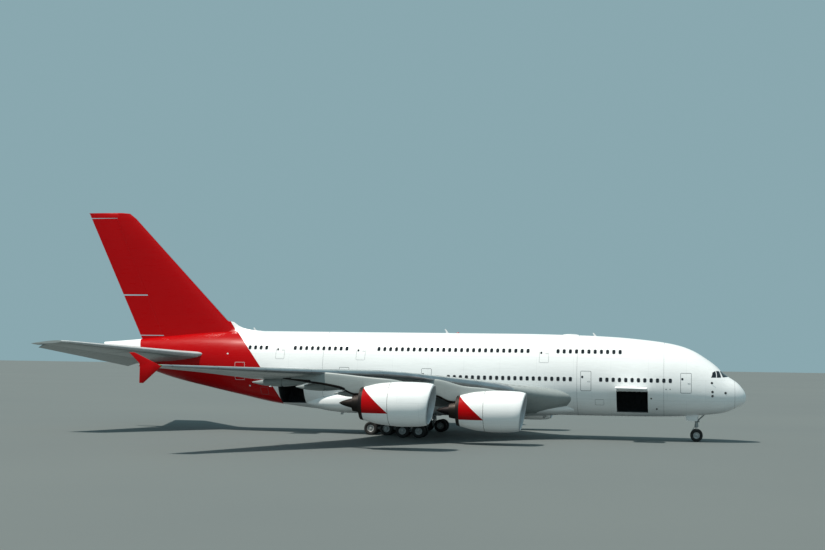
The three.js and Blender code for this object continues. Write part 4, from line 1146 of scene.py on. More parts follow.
# Leading edge fillets at the roots: where one ends on the span, the body's side, how far it reaches
# forward there, how deep it runs back, and by what share its underside is deepened
WING_FILLET = (6.6, 3.4, 2.75, 9.0, 0.75)
TAIL_FILLET = (3.9, 2.55, 0.75, 2.0, 0.0)
# How far behind the leading edge the deepening reaches its full share
DEEPENED_BY = 3.2
# How far other finishes reach back from the leading edges: share of the chord and a length more
BARE_EDGE, EROSION_EDGE, FIN_EDGE = (0.03, 0.05), (0.05, 0.05), (0, 0.02)


def root_fillet(bm, table, fillet):
    """Draw the leading edge forward in a curve where a surface meets the body, and deepen its underside."""
    last, side, reach, depth, growth = fillet
    for vert in bm.verts:
        _, leading, height, _, incidence, _ = straight(table, max(vert.co.y, table[0][0]))
        share = (last - vert.co.y) / (last - side)
        behind = vert.co.x - leading
        if share > 0 and behind < depth:
            pull = min(share, 1.0) ** 2 * (1 - max(behind / depth, 0.0))
            under = height - behind * math.tan(math.radians(incidence)) - vert.co.z
            vert.co.z -= growth * pull * min(max(behind, 0.0) / DEEPENED_BY, 1.0) * max(under, 0.0)
            vert.co.x -= reach * pull


class AIRLINER_OT_wings(bpy.types.Operator):
    """Wings, flaps with their track fairings, ailerons and wingtip fences"""

    bl_idname = "airliner.wings"
    bl_label = "Wings"

    def execute(self, context):
        wing = lifting_body(WING, WING_CAMBER, WING_EXTRA)
        for name, (fronts, tracks, drop) in FLAPS.items():
            places = []
            for span, x in fronts:
                low = surface_at(WING, WING_CAMBER, x, span, -1).z
                places.append((x + FLAP_FRONT_SET, span, low - drop))
            line = HingeLine(*places)
            cut_bay(wing, line.front(FLAP_FRONT_SET + SWING_GAP), line.ends(SWING_GAP))
            flap = lifting_body(WING, WING_CAMBER, FLAP_EXTRA)
            keep_inside(flap, line.front(FLAP_FRONT_SET), *line.ends(0.0))
            for y in tracks:
                pivot = line.start.lerp(line.end, (y - line.start.y) / (line.end.y - line.start.y))
                join(wing, self.canoe(pivot, line, False))
                join(flap, self.canoe(pivot, line, True))
            add_both(f"{name}_panel", flap, "grey", name, name)
        for name, ends in AILERONS.items():
            line = coaxial_line(WING, WING_CAMBER, ends)
            cut_bay(wing, line.front(*COVE), line.ends(SWING_GAP))
            aileron = hinged_surface(WING, WING_CAMBER, line)
            add_both(f"{name}_panel", aileron, "grey", name, name)
        # The polished slats and leading edge, outboard of the root's fillet
        forward = [face for face in wing.faces if face.normal.x < FACING]
        paint(forward, "bare", near_edge(WING, *BARE_EDGE, WING_FILLET[0]))
        root_fillet(wing, WING, WING_FILLET)
        add_both("wing_skin", wing, "grey", node="wing")

        bm = bmesh.new()
        plate(bm, FENCE, *FENCE_SIDES, "y", 0.03)
        add_both("fence_panel", bm, "red", node="wingtip_fence")
        return {"FINISHED"}

    def canoe(self, pivot, line, rear):
        """Half of a track fairing: the front stays on the wing, the rear turns with the flap."""
        bm = bmesh.new()
        rings = []
        for x in spread(CANOE[0][0], CANOE[-1][0], 32):
            half, bottom, top = canoe_at(x)
            rings.append([place + pivot for place in oval(x, top, bottom, half, None, CANOE_POWER, 24)])
        loft(bm, rings)
        if rear:
            # The slant leaves room for the front half as the flap goes down
            slant = (line.aft + CANOE_LEAN * line.up).normalized()
            keep_inside(bm, (pivot + line.aft * SWING_GAP, line.aft), (pivot + line.aft * CANOE_PLAY, slant))
        else:
            keep_inside(bm, (pivot - line.aft * SWING_GAP, -line.aft))
        return bm


# Ramp ahead of the fin: station, top, half width; and half its section: shares across and up
RAMP = [(50.1, 10.78, 0.10), (52.9, 10.99, 0.24), (54.0, 11.20, 0.26), (54.7, 11.52, 0.25),
        (55.2, 11.85, 0.22), (57.2, 12.05, 0.20)]
RAMP_SECTION = [(0, 1), (-0.35, 0.97), (-0.6, 0.8), (-0.75, 0.5), (-1, 0.25), (-1.2, 0)]
# How deep the ramp's foot lies in the body, and how much it flares there
RAMP_FOOT, RAMP_FLARE = 0.25, 1.2


class AIRLINER_OT_tail(bpy.types.Operator):
    """Tailplanes, elevators, fin, rudders and the ramp ahead of the fin"""

    bl_idname = "airliner.tail"
    bl_label = "Tail surfaces"

    def execute(self, context):
        line = coaxial_line(TAILPLANE, 0, ELEVATOR)
        plane = lifting_body(TAILPLANE, 0, TAILPLANE_EXTRA)
        cut_bay(plane, line.front(*COVE), line.ends(SWING_GAP))
        paint(plane.faces, "edge", near_edge(TAILPLANE, *EROSION_EDGE))
        root_fillet(plane, TAILPLANE, TAIL_FILLET)
        add_both("tailplane_skin", plane, "grey", node="tailplane")
        elevator = hinged_surface(TAILPLANE, 0, line)
        swing(elevator, ELEVATOR_DROOP, line.along, line.start)
        add_both("elevator_panel", elevator, "grey", "elevator", "elevator")

        # The fin and rudders are made lying flat and then turned upright
        fin = lifting_body(FIN, 0, FIN_EXTRA)
        # Both rudders turn on one line, in one bay
        bay = coaxial_line(FIN, 0, (RUDDERS["lower_rudder"][0], RUDDERS["upper_rudder"][1]))
        cut_bay(fin, bay.front(*COVE), bay.ends(RUDDER_END_GAP, square=False))
        for name, ends in RUDDERS.items():
            rudder = hinged_surface(FIN, 0, coaxial_line(FIN, 0, ends), square=False)
            swing(rudder, math.pi / 2, "X")
            add_piece(f"{name}_panel", rudder, "red", name, (name,))
        paint(fin.faces, "bare", near_edge(FIN, *FIN_EDGE))
        swing(fin, math.pi / 2, "X")
        add_piece("fin_skin", fin, "red", replaces=("fin",))
        self.ramp()
        return {"FINISHED"}

    def ramp(self):
        """The low ramp that leads the body's top into the fin."""
        bm = bmesh.new()
        ramp_at = eased(RAMP)
        section = RAMP_SECTION + [(-y, z) for y, z in reversed(RAMP_SECTION[1:])]
        rings = []
        for x in spread(RAMP[0][0], RAMP[-1][0], 28):
            height, half = ramp_at(x)
            foot = hull_at(x)[0] - RAMP_FOOT
            rings.append([Vector((x, y * half * (1 + RAMP_FLARE * (1 - z) ** 2), foot + (height - foot) * z))
                          for y, z in section])
        loft(bm, rings)
        edge = Vector((1, 0, RED_NORMALS[1].z / RED_NORMALS[1].x)).normalized()
        score(bm, RED_START, edge)
        paint(bm.faces, "red", lambda middle: (middle - RED_START).dot(edge) > 0)
        add_piece("fin_fillet", bm, "white")


NACELLE_SEGMENTS = 80
COWL_LENGTH = COWL[-1][0]
# Steps along the cowl's outside and how much they crowd toward the lip, and steps along the duct
COWL_STEPS, COWL_CROWDING, DUCT_STEPS = 30, 1.6, 24
# The seam round the cowl as (x, depth), the inside of the intake lip as (x, radius), the gap left for them
COWL_GROOVE = [(3.595, 0.0), (3.60, 0.012), (3.625, 0.012), (3.63, 0.0)]
GROOVE_ROOM = (3.5, 3.7)
THROAT = [(0.12, 1.60), (0.05, 1.635), (0.015, 1.665)]
# Where finishes change on a nacelle: lip outside and inside (its pale colour a painted reflection), seam, and
# the rear ring, painted in the nozzle's dark metal as painted shade of the cowl's rear edge
LIP_OUTSIDE, LIP_INSIDE = 0.1, 0.42
SEAM_DARK = (3.596, 3.629)
PAINTED_SHADE_RING = 6.0
# The red triangle's front corner, low on the cowl, and the direction across its slanted edge
TRIANGLE_CORNER = Vector((3.57, 0, -0.80))
TRIANGLE_SLOPE = Vector((2.10, 0, -2.33)).normalized()
# Vortex strake on the shoulder: outline, half its thickness, radius where it stands, turn to that side
STRAKE = [(1.5, 0.0), (2.9, 0.0), (2.75, 0.34), (2.3, 0.30)]
STRAKE_HALF, STRAKE_RADIUS, STRAKE_TURN = 0.012, 1.96, math.radians(42)
HUB = [(0.95, 0), (0.97, 0.05), (1.07, 0.14), (1.25, 0.25), (1.45, 0.36), (1.65, 0.44), (1.89, 0.46),
       (1.89, 0)]
# Fan blades: station, radius of the root, length and thickness
FAN_STATION, BLADE_ROOT, BLADE_LENGTH, BLADE_THICKNESS = 1.62, 0.42, 1.045, 0.014
# A blade's least chord and its growth, pitch at the root and its growth in degrees, bow, forward sweep
BLADE_CHORD, BLADE_PITCH, BLADE_BOW, BLADE_SWEEP = (0.26, 0.26), (22, 40), 0.05, 0.06
# Outlet guide vanes behind the fan: number, station, chord, bow; radius of the root, length, thickness
VANES, VANE_STATION, VANE_CHORD, VANE_BOW = 32, 2.78, 0.34, 0.06
VANE_ROOT, VANE_LENGTH, VANE_THICKNESS = 0.72, 0.775, 0.012
# The nozzle's rim, between the core's skin and the plug, and the shaft between fan and core
NOZZLE_RIM = [(7.1, 0.665), (6.78, 0.665), (6.75, 0.64)]
SHAFT = ((1.905, 0, 0), (2.1, 0, 0), 0.2)
# Pylon: first station behind the lip, squareness, heat shield's start behind the lip and its height
PYLON_START, PYLON_POWER, SHIELD_START, SHIELD_HEIGHT = 2.0, 3.6, 5.8, 0.22
cowl_at = eased(COWL, lambda x: math.sqrt(x + 0.02))
duct_at = eased(DUCT)


def blade_place(u, v):
    """A place on a fan blade: u across its chord and v up its length, which twists and bows."""
    u -= 0.5
    chord = BLADE_CHORD[0] + BLADE_CHORD[1] * math.sin(math.pi * (0.15 + 0.6 * v))
    turn = math.radians(BLADE_PITCH[0] + BLADE_PITCH[1] * v)
    bow = BLADE_BOW * (1 - 4 * u * u)
    axial = u * chord * math.cos(turn) - bow * math.sin(turn) + BLADE_SWEEP * math.sin(math.pi * v)
    across = u * chord * math.sin(turn) + bow * math.cos(turn)
    return FAN_STATION - axial, across, BLADE_ROOT + BLADE_LENGTH * v


def vane_place(u, v):
    return VANE_STATION + VANE_CHORD * (u - 0.5), VANE_BOW * (u - 1) ** 2, VANE_ROOT + VANE_LENGTH * v


def blade_row(bm, count, columns, rows, place, thickness, first=0.0, finish=None):
    """Thin blades set evenly round the x axis."""
    for k in range(count):
        blade = bmesh.new()
        sheet(blade, columns, rows, place)
        bmesh.ops.solidify(blade, geom=blade.faces[:], thickness=thickness)
        swing(blade, 2 * math.pi * (k + first) / count, "X")
        join(bm, blade, finish)


class AIRLINER_OT_engines(bpy.types.Operator):
    """Nacelles, fans, engine cores with their nozzles, and pylons"""

    bl_idname = "airliner.engines"
    bl_label = "Engines"

    def execute(self, context):
        blades = context.scene.airliner_sizes.fan_blades
        for name, y, lip, height, reach in ENGINES:
            for piece, bm, own, slot, body, node in (
                    ("nacelle_cowl", self.nacelle(), "white", "white_paint", None, "nacelle"),
                    ("fan_rotor", self.fan(blades), "blade", "fan_metal", f"{name}_fan", "fan"),
                    ("core_and_nozzle", self.core(), "nozzle", "engine_metal", None, "engine_core")):
                move(bm, (lip, y, height))
                add_both(f"{name}_{piece}", bm, own, body, f"{name}_{node}")
            # The pylon's grey paint all over is partly its real grey and partly painted shade from the wing
            # above it
            add_both(f"{name}_pylon_skin", self.pylon(y, lip, height, reach), "grey",
                     node=f"{name}_pylon")
        return {"FINISHED"}

    def nacelle(self):
        bm = bmesh.new()
        outside = [COWL_LENGTH * share ** COWL_CROWDING for share in spread(0, 1, COWL_STEPS)]
        profile = [(x, cowl_at(x)[0]) for x in outside if not GROOVE_ROOM[0] < x < GROOVE_ROOM[1]]
        profile += [(x, cowl_at(x)[0] - depth) for x, depth in COWL_GROOVE]
        inside = [(x, duct_at(x)[0]) for x in reversed(spread(0, COWL_LENGTH, DUCT_STEPS)[1:])]
        turned(bm, sorted(profile) + inside + THROAT, NACELLE_SEGMENTS)

        def outer(middle):
            duct = duct_at(max(middle.x, DUCT[0][0]))[0]
            return middle.yz.length > (duct + cowl_at(middle.x)[0]) / 2
        # The lip, out to 0.42 m inside the intake, takes the pale lip finish: a painted reflection, which
        # also paints light on the inner wall
        paint(unmarked(bm), "lip", lambda middle: middle.x < (LIP_OUTSIDE if outer(middle) else LIP_INSIDE))
        # The duct's darkish liner is partly painted shade of the intake's inside
        paint(unmarked(bm), "duct", lambda middle: not outer(middle))
        paint(unmarked(bm), "dark", lambda middle: SEAM_DARK[0] < middle.x < SEAM_DARK[1])
        # The cowl's last 0.35 m takes the nozzle's dark metal: painted shade at its rear edge
        paint(unmarked(bm), "nozzle", lambda middle: middle.x > PAINTED_SHADE_RING)
        for normal in (TRIANGLE_SLOPE, Z_AXIS):
            score(bm, TRIANGLE_CORNER, normal)
        paint(unmarked(bm), "red", lambda middle: (middle - TRIANGLE_CORNER).dot(TRIANGLE_SLOPE) > 0
              and middle.z > TRIANGLE_CORNER.z)
        for vert in bm.verts:
            vert.co.x -= LIP_RAKE * max(0.0, 1 - vert.co.x / RAKE_LENGTH) * vert.co.z
        strake = bmesh.new()
        plate(strake, STRAKE, -STRAKE_HALF, STRAKE_HALF, "y", 0.004)
        move(strake, (0, 0, STRAKE_RADIUS))
        swing(strake, STRAKE_TURN, "X")
        join(bm, strake)
        return bm

    def fan(self, count):
        bm = bmesh.new()
        turned(bm, HUB, 48, closed=False, finish="spinner")
        blade_row(bm, count, 5, 9, blade_place, BLADE_THICKNESS)
        return bm

    def core(self):
        bm = bmesh.new()
        profile = [(CORE[0][0], 0)]
        for table, steps, between in ((CORE, 26, NOZZLE_RIM), (PLUG, 12, [])):
            radius_at = eased(table)
            profile += [(x, radius_at(x)[0]) for x in spread(table[0][0], table[-1][0], steps)] + between
        profile[-1] = PLUG[-1]
        turned(bm, profile, 56, closed=False)
        rod(bm, *SHAFT, segments=24)
        blade_row(bm, VANES, 3, 3, vane_place, VANE_THICKNESS, 0.5, "duct")
        return bm

    def pylon(self, y, lip, height, reach):
        _, leading, leading_z, *_ = straight(WING, y)
        rear = leading + reach
        low, high = (surface_at(WING, WING_CAMBER, rear, y, side).z for side in (-1, 1))
        start = lip + PYLON_START
        # Its upper edge, lower edge and half width, which run from the cowl's shoulder into the wing
        top_at = eased([(start, height + 1.88), (lip + 3.6, height + 2.18), (lip + 5.6, height + 2.34),
                        (leading, leading_z), (leading + 0.4, leading_z + 0.02), (rear, (low + high) / 2)])
        bottom_at = eased([(start, height + 1.7), (lip + 3.0, height + 1.2), (lip + 5.0, height + 0.9),
                           (lip + 6.9, height + 0.69), (lip + 8.3, height + 1.25), (rear, low - 0.05)])
        width_at = eased([(start, 0.04), (lip + 2.7, 0.17), (lip + 4.5, 0.23), (leading + 1.0, 0.23),
                          (rear - 1.2, 0.19), (rear, 0.03)])
        bm = bmesh.new()
        rings = []
        for x in spread(start, rear, 44):
            top = top_at(x)[0]
            ring = oval(x, top, min(bottom_at(x)[0], top - 0.02), width_at(x)[0], None, PYLON_POWER, 28)
            rings.append([place + Y_AXIS * y for place in ring])
        loft(bm, rings)
        # The heat shield under the pylon, behind the nozzle
        paint(bm.faces, "nozzle", lambda middle: middle.x > lip + SHIELD_START
              and middle.z < bottom_at(middle.x)[0] + SHIELD_HEIGHT)
        return bm


# Tyre profile from the shoulder in, as shares of half the width and of the radius; the bead's and the
# dish's places are shares of half the width and radii measured in from the rim
TYRE_SHOULDER = ((0.80, 0.985), (0.93, 0.94), (1, 0.85), (0.99, 0.74), (0.86, 0.62))
RIM_SHARE, TREAD_SHARE = 0.52, 0.62
DISH_RIM = ((0.74, 0.008), (0.78, -0.01), (0.72, -0.035), (0.45, -0.06))
DISH_HUB = ((0.34, 0.30), (0.40, 0.22), (0.62, 0.20), (0.66, 0.13), (0.66, 0))
GROOVE_EDGES = ((-0.012, 0), (-0.008, 1), (0.008, 1), (0.012, 0))
TYRE_SEGMENTS, DISH_SEGMENTS = 56, 40
# Tie bolts round each rim: number, share of the radius where they stand, radius
TIE_BOLTS, BOLT_CIRCLE, BOLT_RADIUS = 12, 0.36, 0.016
AXLE_RADIUS, HOUSING_RADIUS = 0.075, 0.15
# A bogie's beam and its middle block: half width, depth under and over the axles; the block's half length
BEAM, MIDDLE_BLOCK = (0.13, 0.14, 0.12), (0.17, 0.1, 0.26)
MIDDLE_REACH = 0.2
BRAKE_RADIUS, BRAKE_WIDTH = 0.26, 0.1
# Rods of each main leg: from and to, from the leg's place on the ground, radius, sides, finish
LEG_RODS = {
    "wing_gear": (
        ((0, 0, 0.70), (0, 0, 1.5), 0.14, 28, "chrome"), ((0, 0, 1.42), (0, 0, 4.4), 0.24, 32, "own"),
        ((0, 0, 1.40), (0, 0, 1.52), 0.27, 32, "own"), ((0, 0, 1.9), (-0.2, -2.83, 3.3), 0.09, 20, "own"),
        ((0, 0, 2.2), (-2.4, -0.2, 4.3), 0.10, 20, "own")),
    "body_gear": (
        ((0, 0, 0.70), (0, 0, 1.3), 0.14, 28, "chrome"), ((0, 0, 1.22), (0, 0, 2.9), 0.24, 32, "own"),
        ((0, 0, 1.20), (0, 0, 1.32), 0.27, 32, "own"), ((-0.1, 0, 1.7), (-1.6, 0, 2.8), 0.10, 20, "own"),
        ((0, 0, 1.6), (0, -1.0, 2.7), 0.08, 20, "own")),
}
# The wing gear leg's door: fronts of its panels, their length, inner and outer side, heights; its brackets
LEG_DOOR = ((-0.75, -0.25, 0.25), 0.494, (0.30, 0.345), (1.75, 4.3))
LEG_BRACKETS = (2.5, 3.3)
# The link behind each main leg: (x, z) of its lower and upper end and of its knee
LEG_LINKS = {
    "wing_gear": ((0.2, 1.0), (0.2, 2.0), (0.5, 1.5)),
    "body_gear": ((0.2, 0.95), (0.2, 1.7), (0.5, 1.3)),
}
# The nose gear: height of the collar over its fork, the gap there, and the fixed frame's rods: from and to,
# radius, sides
COLLAR, COLLAR_GAP = 1.62, 0.003
NOSE_RODS = (
    ((0, 0, COLLAR + COLLAR_GAP), (0, 0, 3.2), 0.17, 32),
    ((0, 0, COLLAR + COLLAR_GAP), (0, 0, COLLAR + 0.1), 0.20, 32),
    ((0, 0, 2.0), (-1.15, 0, 3.1), 0.07, 20), ((0, -0.42, 2.75), (0, 0.42, 2.75), 0.09, 20),
)
# The taxi lamps: distance from the leg's middle, height; the bay doors: inner and outer side, outline (x, z)
TAXI_LAMP, BAY_DOOR_SIDES = (0.20, 2.05), (0.62, 0.655)
BAY_DOOR = ((-0.15, 2.78), (1.15, 2.78), (1.05, 2.25), (0.9, 2.12), (0, 2.08), (-0.12, 2.2))


class AIRLINER_OT_gear(bpy.types.Operator):
    """Landing gear: tyres on their rims, legs, bogies, braces, hoses and leg doors"""

    bl_idname = "airliner.gear"
    bl_label = "Landing gear"

    def execute(self, context):
        groove = context.scene.airliner_sizes.tyre_groove
        for gear, (x, y, track, axles) in BOGIES.items():
            for place, offset in axles.items():
                bm = self.wheels(*MAIN_WHEEL, track, groove)
                move(bm, (x + offset, y, MAIN_WHEEL[0]))
                name = f"{gear}_{place}_wheels"
                add_both(f"{name}_tyres", bm, "rubber", name, name)
            bm = self.bogie_leg(gear, track, list(axles.values()))
            move(bm, (x, y, 0))
            add_both(f"{gear}_leg_frame", bm, "leg", node=f"{gear}_leg")
        bm = self.wheels(*NOSE_WHEEL, NOSE_TRACK, groove)
        move(bm, (NOSE_LEG, 0, NOSE_WHEEL[0]))
        add_piece("nose_wheel_tyres", bm, "rubber", "nose_wheels", ("nose_wheels",))
        self.nose_frame()
        self.nose_fork()
        return {"FINISHED"}

    def wheels(self, radius, width, track, groove):
        """Two tyres on their rims and the axle between them, about y."""
        bm = bmesh.new()
        half, rim = width / 2, radius * RIM_SHARE
        pitch = half * TREAD_SHARE / 2
        tread = []
        for k in range(-2, 2):
            tread.append((pitch * k, radius))
            tread += [(pitch * (k + 0.5) + x, radius - groove * sunk) for x, sunk in GROOVE_EDGES]
        tread.append((pitch * 2, radius))
        shoulder = [(half * x, radius * r) for x, r in TYRE_SHOULDER] + [(half * 0.74, rim + 0.01)]
        tyre = [(-x, r) for x, r in reversed(shoulder)] + tread + shoulder
        tyre += [(half * 0.70, rim - 0.02), (-half * 0.70, rim - 0.02)]
        dish = [(half * x, rim + r) for x, r in DISH_RIM] + [(half * x, radius * r) for x, r in DISH_HUB]
        for side in (-1, 1):
            wheel = bmesh.new()
            turned(wheel, tyre, TYRE_SEGMENTS)
            both = [(-x, r) for x, r in reversed(dish)] + dish
            turned(wheel, both, DISH_SEGMENTS, closed=False, finish="rim")
            for turn in spread(0, 2 * math.pi, TIE_BOLTS)[:-1]:
                spot = (radius * BOLT_CIRCLE * math.cos(turn), radius * BOLT_CIRCLE * math.sin(turn))
                for face in (-half, half):
                    rod(wheel, (face * 0.3, *spot), (face * 0.5, *spot), BOLT_RADIUS, None, 6, "leg")
            move(wheel, (side * track, 0, 0))
            join(bm, wheel)
        rod(bm, (-track, 0, 0), (track, 0, 0), AXLE_RADIUS, segments=24, finish="leg")
        swing(bm, math.pi / 2, "Z")
        return bm

    def bogie_leg(self, gear, track, offsets):
        """A main leg with its bogie, made about its place on the ground."""
        bm = bmesh.new()
        radius, width = MAIN_WHEEL
        for first, last, (half, under, over), ease in (
                (offsets[0], offsets[-1], BEAM, 0.03), (-MIDDLE_REACH, MIDDLE_REACH, MIDDLE_BLOCK, 0.04)):
            block(bm, (first, -half, radius - under), (last, half, radius + over), ease)
        reach = track - width / 2 - SWING_GAP
        for x in offsets:
            rod(bm, (x, -reach, radius), (x, reach, radius), HOUSING_RADIUS, segments=28)
            for side in (-1, 1):
                # Brake pack beside each wheel
                inner, outer = (x, side * (reach - BRAKE_WIDTH), radius), (x, side * reach, radius)
                rod(bm, inner, outer, BRAKE_RADIUS, segments=28)
        for start, end, size, sides, finish in LEG_RODS[gear]:
            rod(bm, start, end, size, None, sides, finish)
        if gear == "wing_gear":
            # The leg's door, three thin panels on its outer side, and its brackets
            fronts, along, (near, far), (low, high) = LEG_DOOR
            for x in fronts:
                block(bm, (x, near, low), (x + along, far, high), 0.012, "white")
            for z in LEG_BRACKETS:
                block(bm, (-0.12, 0, z - 0.1), (0.12, 0.31, z + 0.1), 0.02)
        *ends, (knee_x, knee_z) = LEG_LINKS[gear]
        for x, z in ends:
            for side in (-0.07, 0.07):
                rod(bm, (x, side, z), (knee_x, side * 0.6, knee_z), 0.045, 0.035)
        rod(bm, (knee_x, -0.09, knee_z), (knee_x, 0.09, knee_z), 0.05, segments=16)
        # Pitch trimmer, and brake hoses down to the axles
        rod(bm, (-0.12, 0, 1.25), (offsets[0] + 0.25, 0, radius + 0.12), 0.05)
        for side in (-1, 1):
            for x in offsets:
                rod(bm, (-0.16, side * 0.16, 1.35), (x, side * 0.2, radius + 0.17), 0.018, None, 8, "hose")
        return bm

    def nose_frame(self):
        bm = bmesh.new()
        for start, end, size, sides in NOSE_RODS:
            rod(bm, start, end, size, None, sides)
        for side in (-1, 1):
            rod(bm, (0, side * 0.38, 2.75), (0, 0, 2.05), 0.06)
            # Taxi lamps on the leg
            lamp = (side * TAXI_LAMP[0], TAXI_LAMP[1])
            rod(bm, (-0.16, *lamp), (-0.30, *lamp), 0.06, 0.09)
            rod(bm, (-0.30, *lamp), (-0.315, *lamp), 0.085, 0.07, finish="clear_lens")
            # Gear doors, open on both sides of the bay
            inner, outer = (side * reach for reach in BAY_DOOR_SIDES)
            plate(bm, BAY_DOOR, inner, outer, "y", 0.008, "white")
            rod(bm, (0, side * 0.16, 2.5), (0, inner, 2.4), 0.03, segments=10)
        move(bm, (NOSE_LEG, 0, 0))
        add_piece("nose_gear_frame", bm, "leg", replaces=("nose_gear_leg",))

    def nose_fork(self):
        bm = bmesh.new()
        radius, width = NOSE_WHEEL
        reach = NOSE_TRACK - width / 2 - SWING_GAP
        rod(bm, (0, 0, COLLAR - 0.16), (0, 0, COLLAR - COLLAR_GAP), 0.20, segments=32)
        rod(bm, (0, 0, radius), (0, 0, COLLAR - 0.1), 0.11, segments=28, finish="chrome")
        rod(bm, (0, -reach, radius), (0, reach, radius), 0.145, segments=28)
        block(bm, (0.1, -0.05, radius + 0.05), (0.34, 0.05, radius + 0.2), 0.015)
        for side in (-0.05, 0.05):
            rod(bm, (0.3, side, radius + 0.12), (0.42, side, 1.15), 0.03)
            rod(bm, (0.42, side, 1.15), (0.15, side, COLLAR - 0.09), 0.03)
        rod(bm, (0.42, -0.08, 1.15), (0.42, 0.08, 1.15), 0.045, segments=16)
        move(bm, (NOSE_LEG, 0, 0))
        steering = "nose_gear_steering"
        add_piece("nose_steering_fork", bm, "leg", steering, (steering,))


# Depth of a line's lower side in the skin
LINE_SUNK = 0.02


def line_on(bm, samples, width, lift=0.006):
    """A thin strip along a row of samples on a skin, each a place and the direction outward."""
    rings = []
    for k, (place, outward) in enumerate(samples):
        before, after = samples[max(k - 1, 0)][0], samples[min(k + 1, len(samples) - 1)][0]
        across = (after - before).cross(outward).normalized() * (width / 2)
        high, low = place + outward * lift, place - outward * LINE_SUNK
        rings.append([high + across, high - across, low - across, low + across])
    part = bmesh.new()
    loft(part, rings)
    join(bm, part)


def samples_on(spans, stations, side, table=WING, camber=WING_CAMBER):
    """Samples on a lifting surface over (1) or under (-1) rows of places."""
    return [(surface_at(table, camber, x, span, side), Vector((0, 0, side)))
            for span, x in zip(spans, stations)]


def spanwise(first, last, station, side, steps, *surface):
    """Samples along the span between two places, at the station that a function gives."""
    spans = spread(first, last, steps)
    return samples_on(spans, map(station, spans), side, *surface)


def chordwise(span, front, rear, side, steps, *surface):
    return samples_on([span] * (steps + 1), spread(front, rear, steps), side, *surface)


def chord_line(table, share, extra=0.0):
    """The station at a share of the chord and a length more, as a function of the place on the span."""
    def at(span):
        row = straight(table, span)
        return row[1] + share * row[3] + extra
    return at


def hull_ring(x, steps=40):
    """Samples round the starboard half of the fuselage at a station."""
    top, bottom, _, widest = hull_at(x)
    samples = []
    for k in range(steps + 1):
        turn = math.pi * (0.5 - (k + 0.5) / (steps + 1))
        lift = top - widest if turn > 0 else widest - bottom
        z = widest + lift * signed_power(math.sin(turn), 2 / HULL_POWER)
        place = on_hull(x, z)
        samples.append((place, (on_hull(x, z, 1.0) - place).normalized()))
    return samples


SLAT_ENDS = (6.8, 10.2, 13.7, 16.1, 20.2, 24.5, 27.0, 31.0, 35.0, 38.6)
SPOILER_ENDS = (6.6, 9.2, 11.8, 13.6, 15.2, 17.6, 20.0, 22.3, 24.5, 26.4)
# Slats' rear edge over and under the wing: side, share of the chord, length more, steps of a chordwise line
SLAT_EDGES = ((1, 0.10, 0.25, 10), (-1, 0.04, 0.1, 6))
SLAT_SEAM, FINE_SEAM = 0.035, 0.03
SPOILER_DEPTH, SPOILER_GAP = 1.35, 0.05
# Tailplane's seams: ends on the span, share of the chord, place of the one along the chord, how far it
# runs behind the elevator's inner hinge, width
TAIL_SEAMS = (3.2, 14.6, 0.10, 8.4, 1.9, 0.025)
BARREL_SEAM, BARREL_LIFT = 0.02, 0.004
# Tank hatches under the wing: number, first one, spacing, share of the chord, shape
TANK_HATCHES = (33, 4.6, 1.02, 0.42, (0.30, 0.46, 0.14, 3, 0))


class AIRLINER_OT_seams(bpy.types.Operator):
    """Seam lines of slats, spoilers, barrels and hatches"""

    bl_idname = "airliner.seams"
    bl_label = "Seams and hatches"

    def execute(self, context):
        bm = bmesh.new()
        front = chord_line(WING, 0.004)
        for side, share, extra, _ in SLAT_EDGES:
            rear = chord_line(WING, share, extra)
            line_on(bm, spanwise(SLAT_ENDS[0], SLAT_ENDS[-1], rear, side, 40), SLAT_SEAM)
        for y in SLAT_ENDS:
            for side, share, extra, steps in SLAT_EDGES:
                line_on(bm, chordwise(y, front(y), chord_line(WING, share, extra)(y), side, steps), FINE_SEAM)
        for ((y0, x0), (y1, x1)), _, _ in FLAPS.values():
            def flap_front(y):
                return x0 + (x1 - x0) * (y - y0) / (y1 - y0)

            def spoiler_front(y):
                return flap_front(y) - SPOILER_DEPTH
            ends = [y for y in SPOILER_ENDS if y0 - 0.1 < y < y1 + 0.1]
            line_on(bm, spanwise(ends[0], ends[-1], spoiler_front, 1, 16), FINE_SEAM)
            for y in ends:
                line_on(bm, chordwise(y, spoiler_front(y), flap_front(y) - SPOILER_GAP, 1, 4), FINE_SEAM)
        count, first, pitch, share, shape = TANK_HATCHES
        for k in range(count):
            y = first + pitch * k
            x = chord_line(WING, share)(y)
            framed(bm, rounded(*shape), 0.02,
                   lambda u, v: surface_at(WING, WING_CAMBER, x + u, y + v, -1) - Z_AXIS * 0.006)
        add_both("wing_seams", bm, "dark")

        bm = bmesh.new()
        inner, outer, share, middle, behind, width = TAIL_SEAMS
        edge = chord_line(TAILPLANE, share)
        rear = ELEVATOR[0][1] + behind
        for side in (-1, 1):
            line_on(bm, spanwise(inner, outer, edge, side, 16, TAILPLANE, 0), width)
            line_on(bm, chordwise(middle, edge(middle), rear, side, 8, TAILPLANE, 0), width)
        add_both("tailplane_seams", bm, "dark")

        bm = bmesh.new()
        for x in BARREL_SEAMS:
            line_on(bm, hull_ring(x), BARREL_SEAM, BARREL_LIFT)
        add_both("barrel_seams", bm, "outline")
        return {"FINISHED"}


# Blade antennas: station and height over the body, stations under it; outlines (x, z) from the skin,
# where a height of 1 stands for the antenna's own
TOP_ANTENNAS = ((15.3, 0.33), (31.08, 0.42), (52.54, 0.38))
TOP_BLADE = ((-0.13, -0.06), (0.15, -0.06), (0.36, 1), (0.24, 1))
LOW_ANTENNAS = (20.5, 29.0, 42.5)
LOW_BLADE = ((-0.22, 0.06), (0.26, 0.06), (0.30, -0.26), (0.08, -0.26))
ANTENNA_HALF, ANTENNA_EASE = 0.025, 0.012
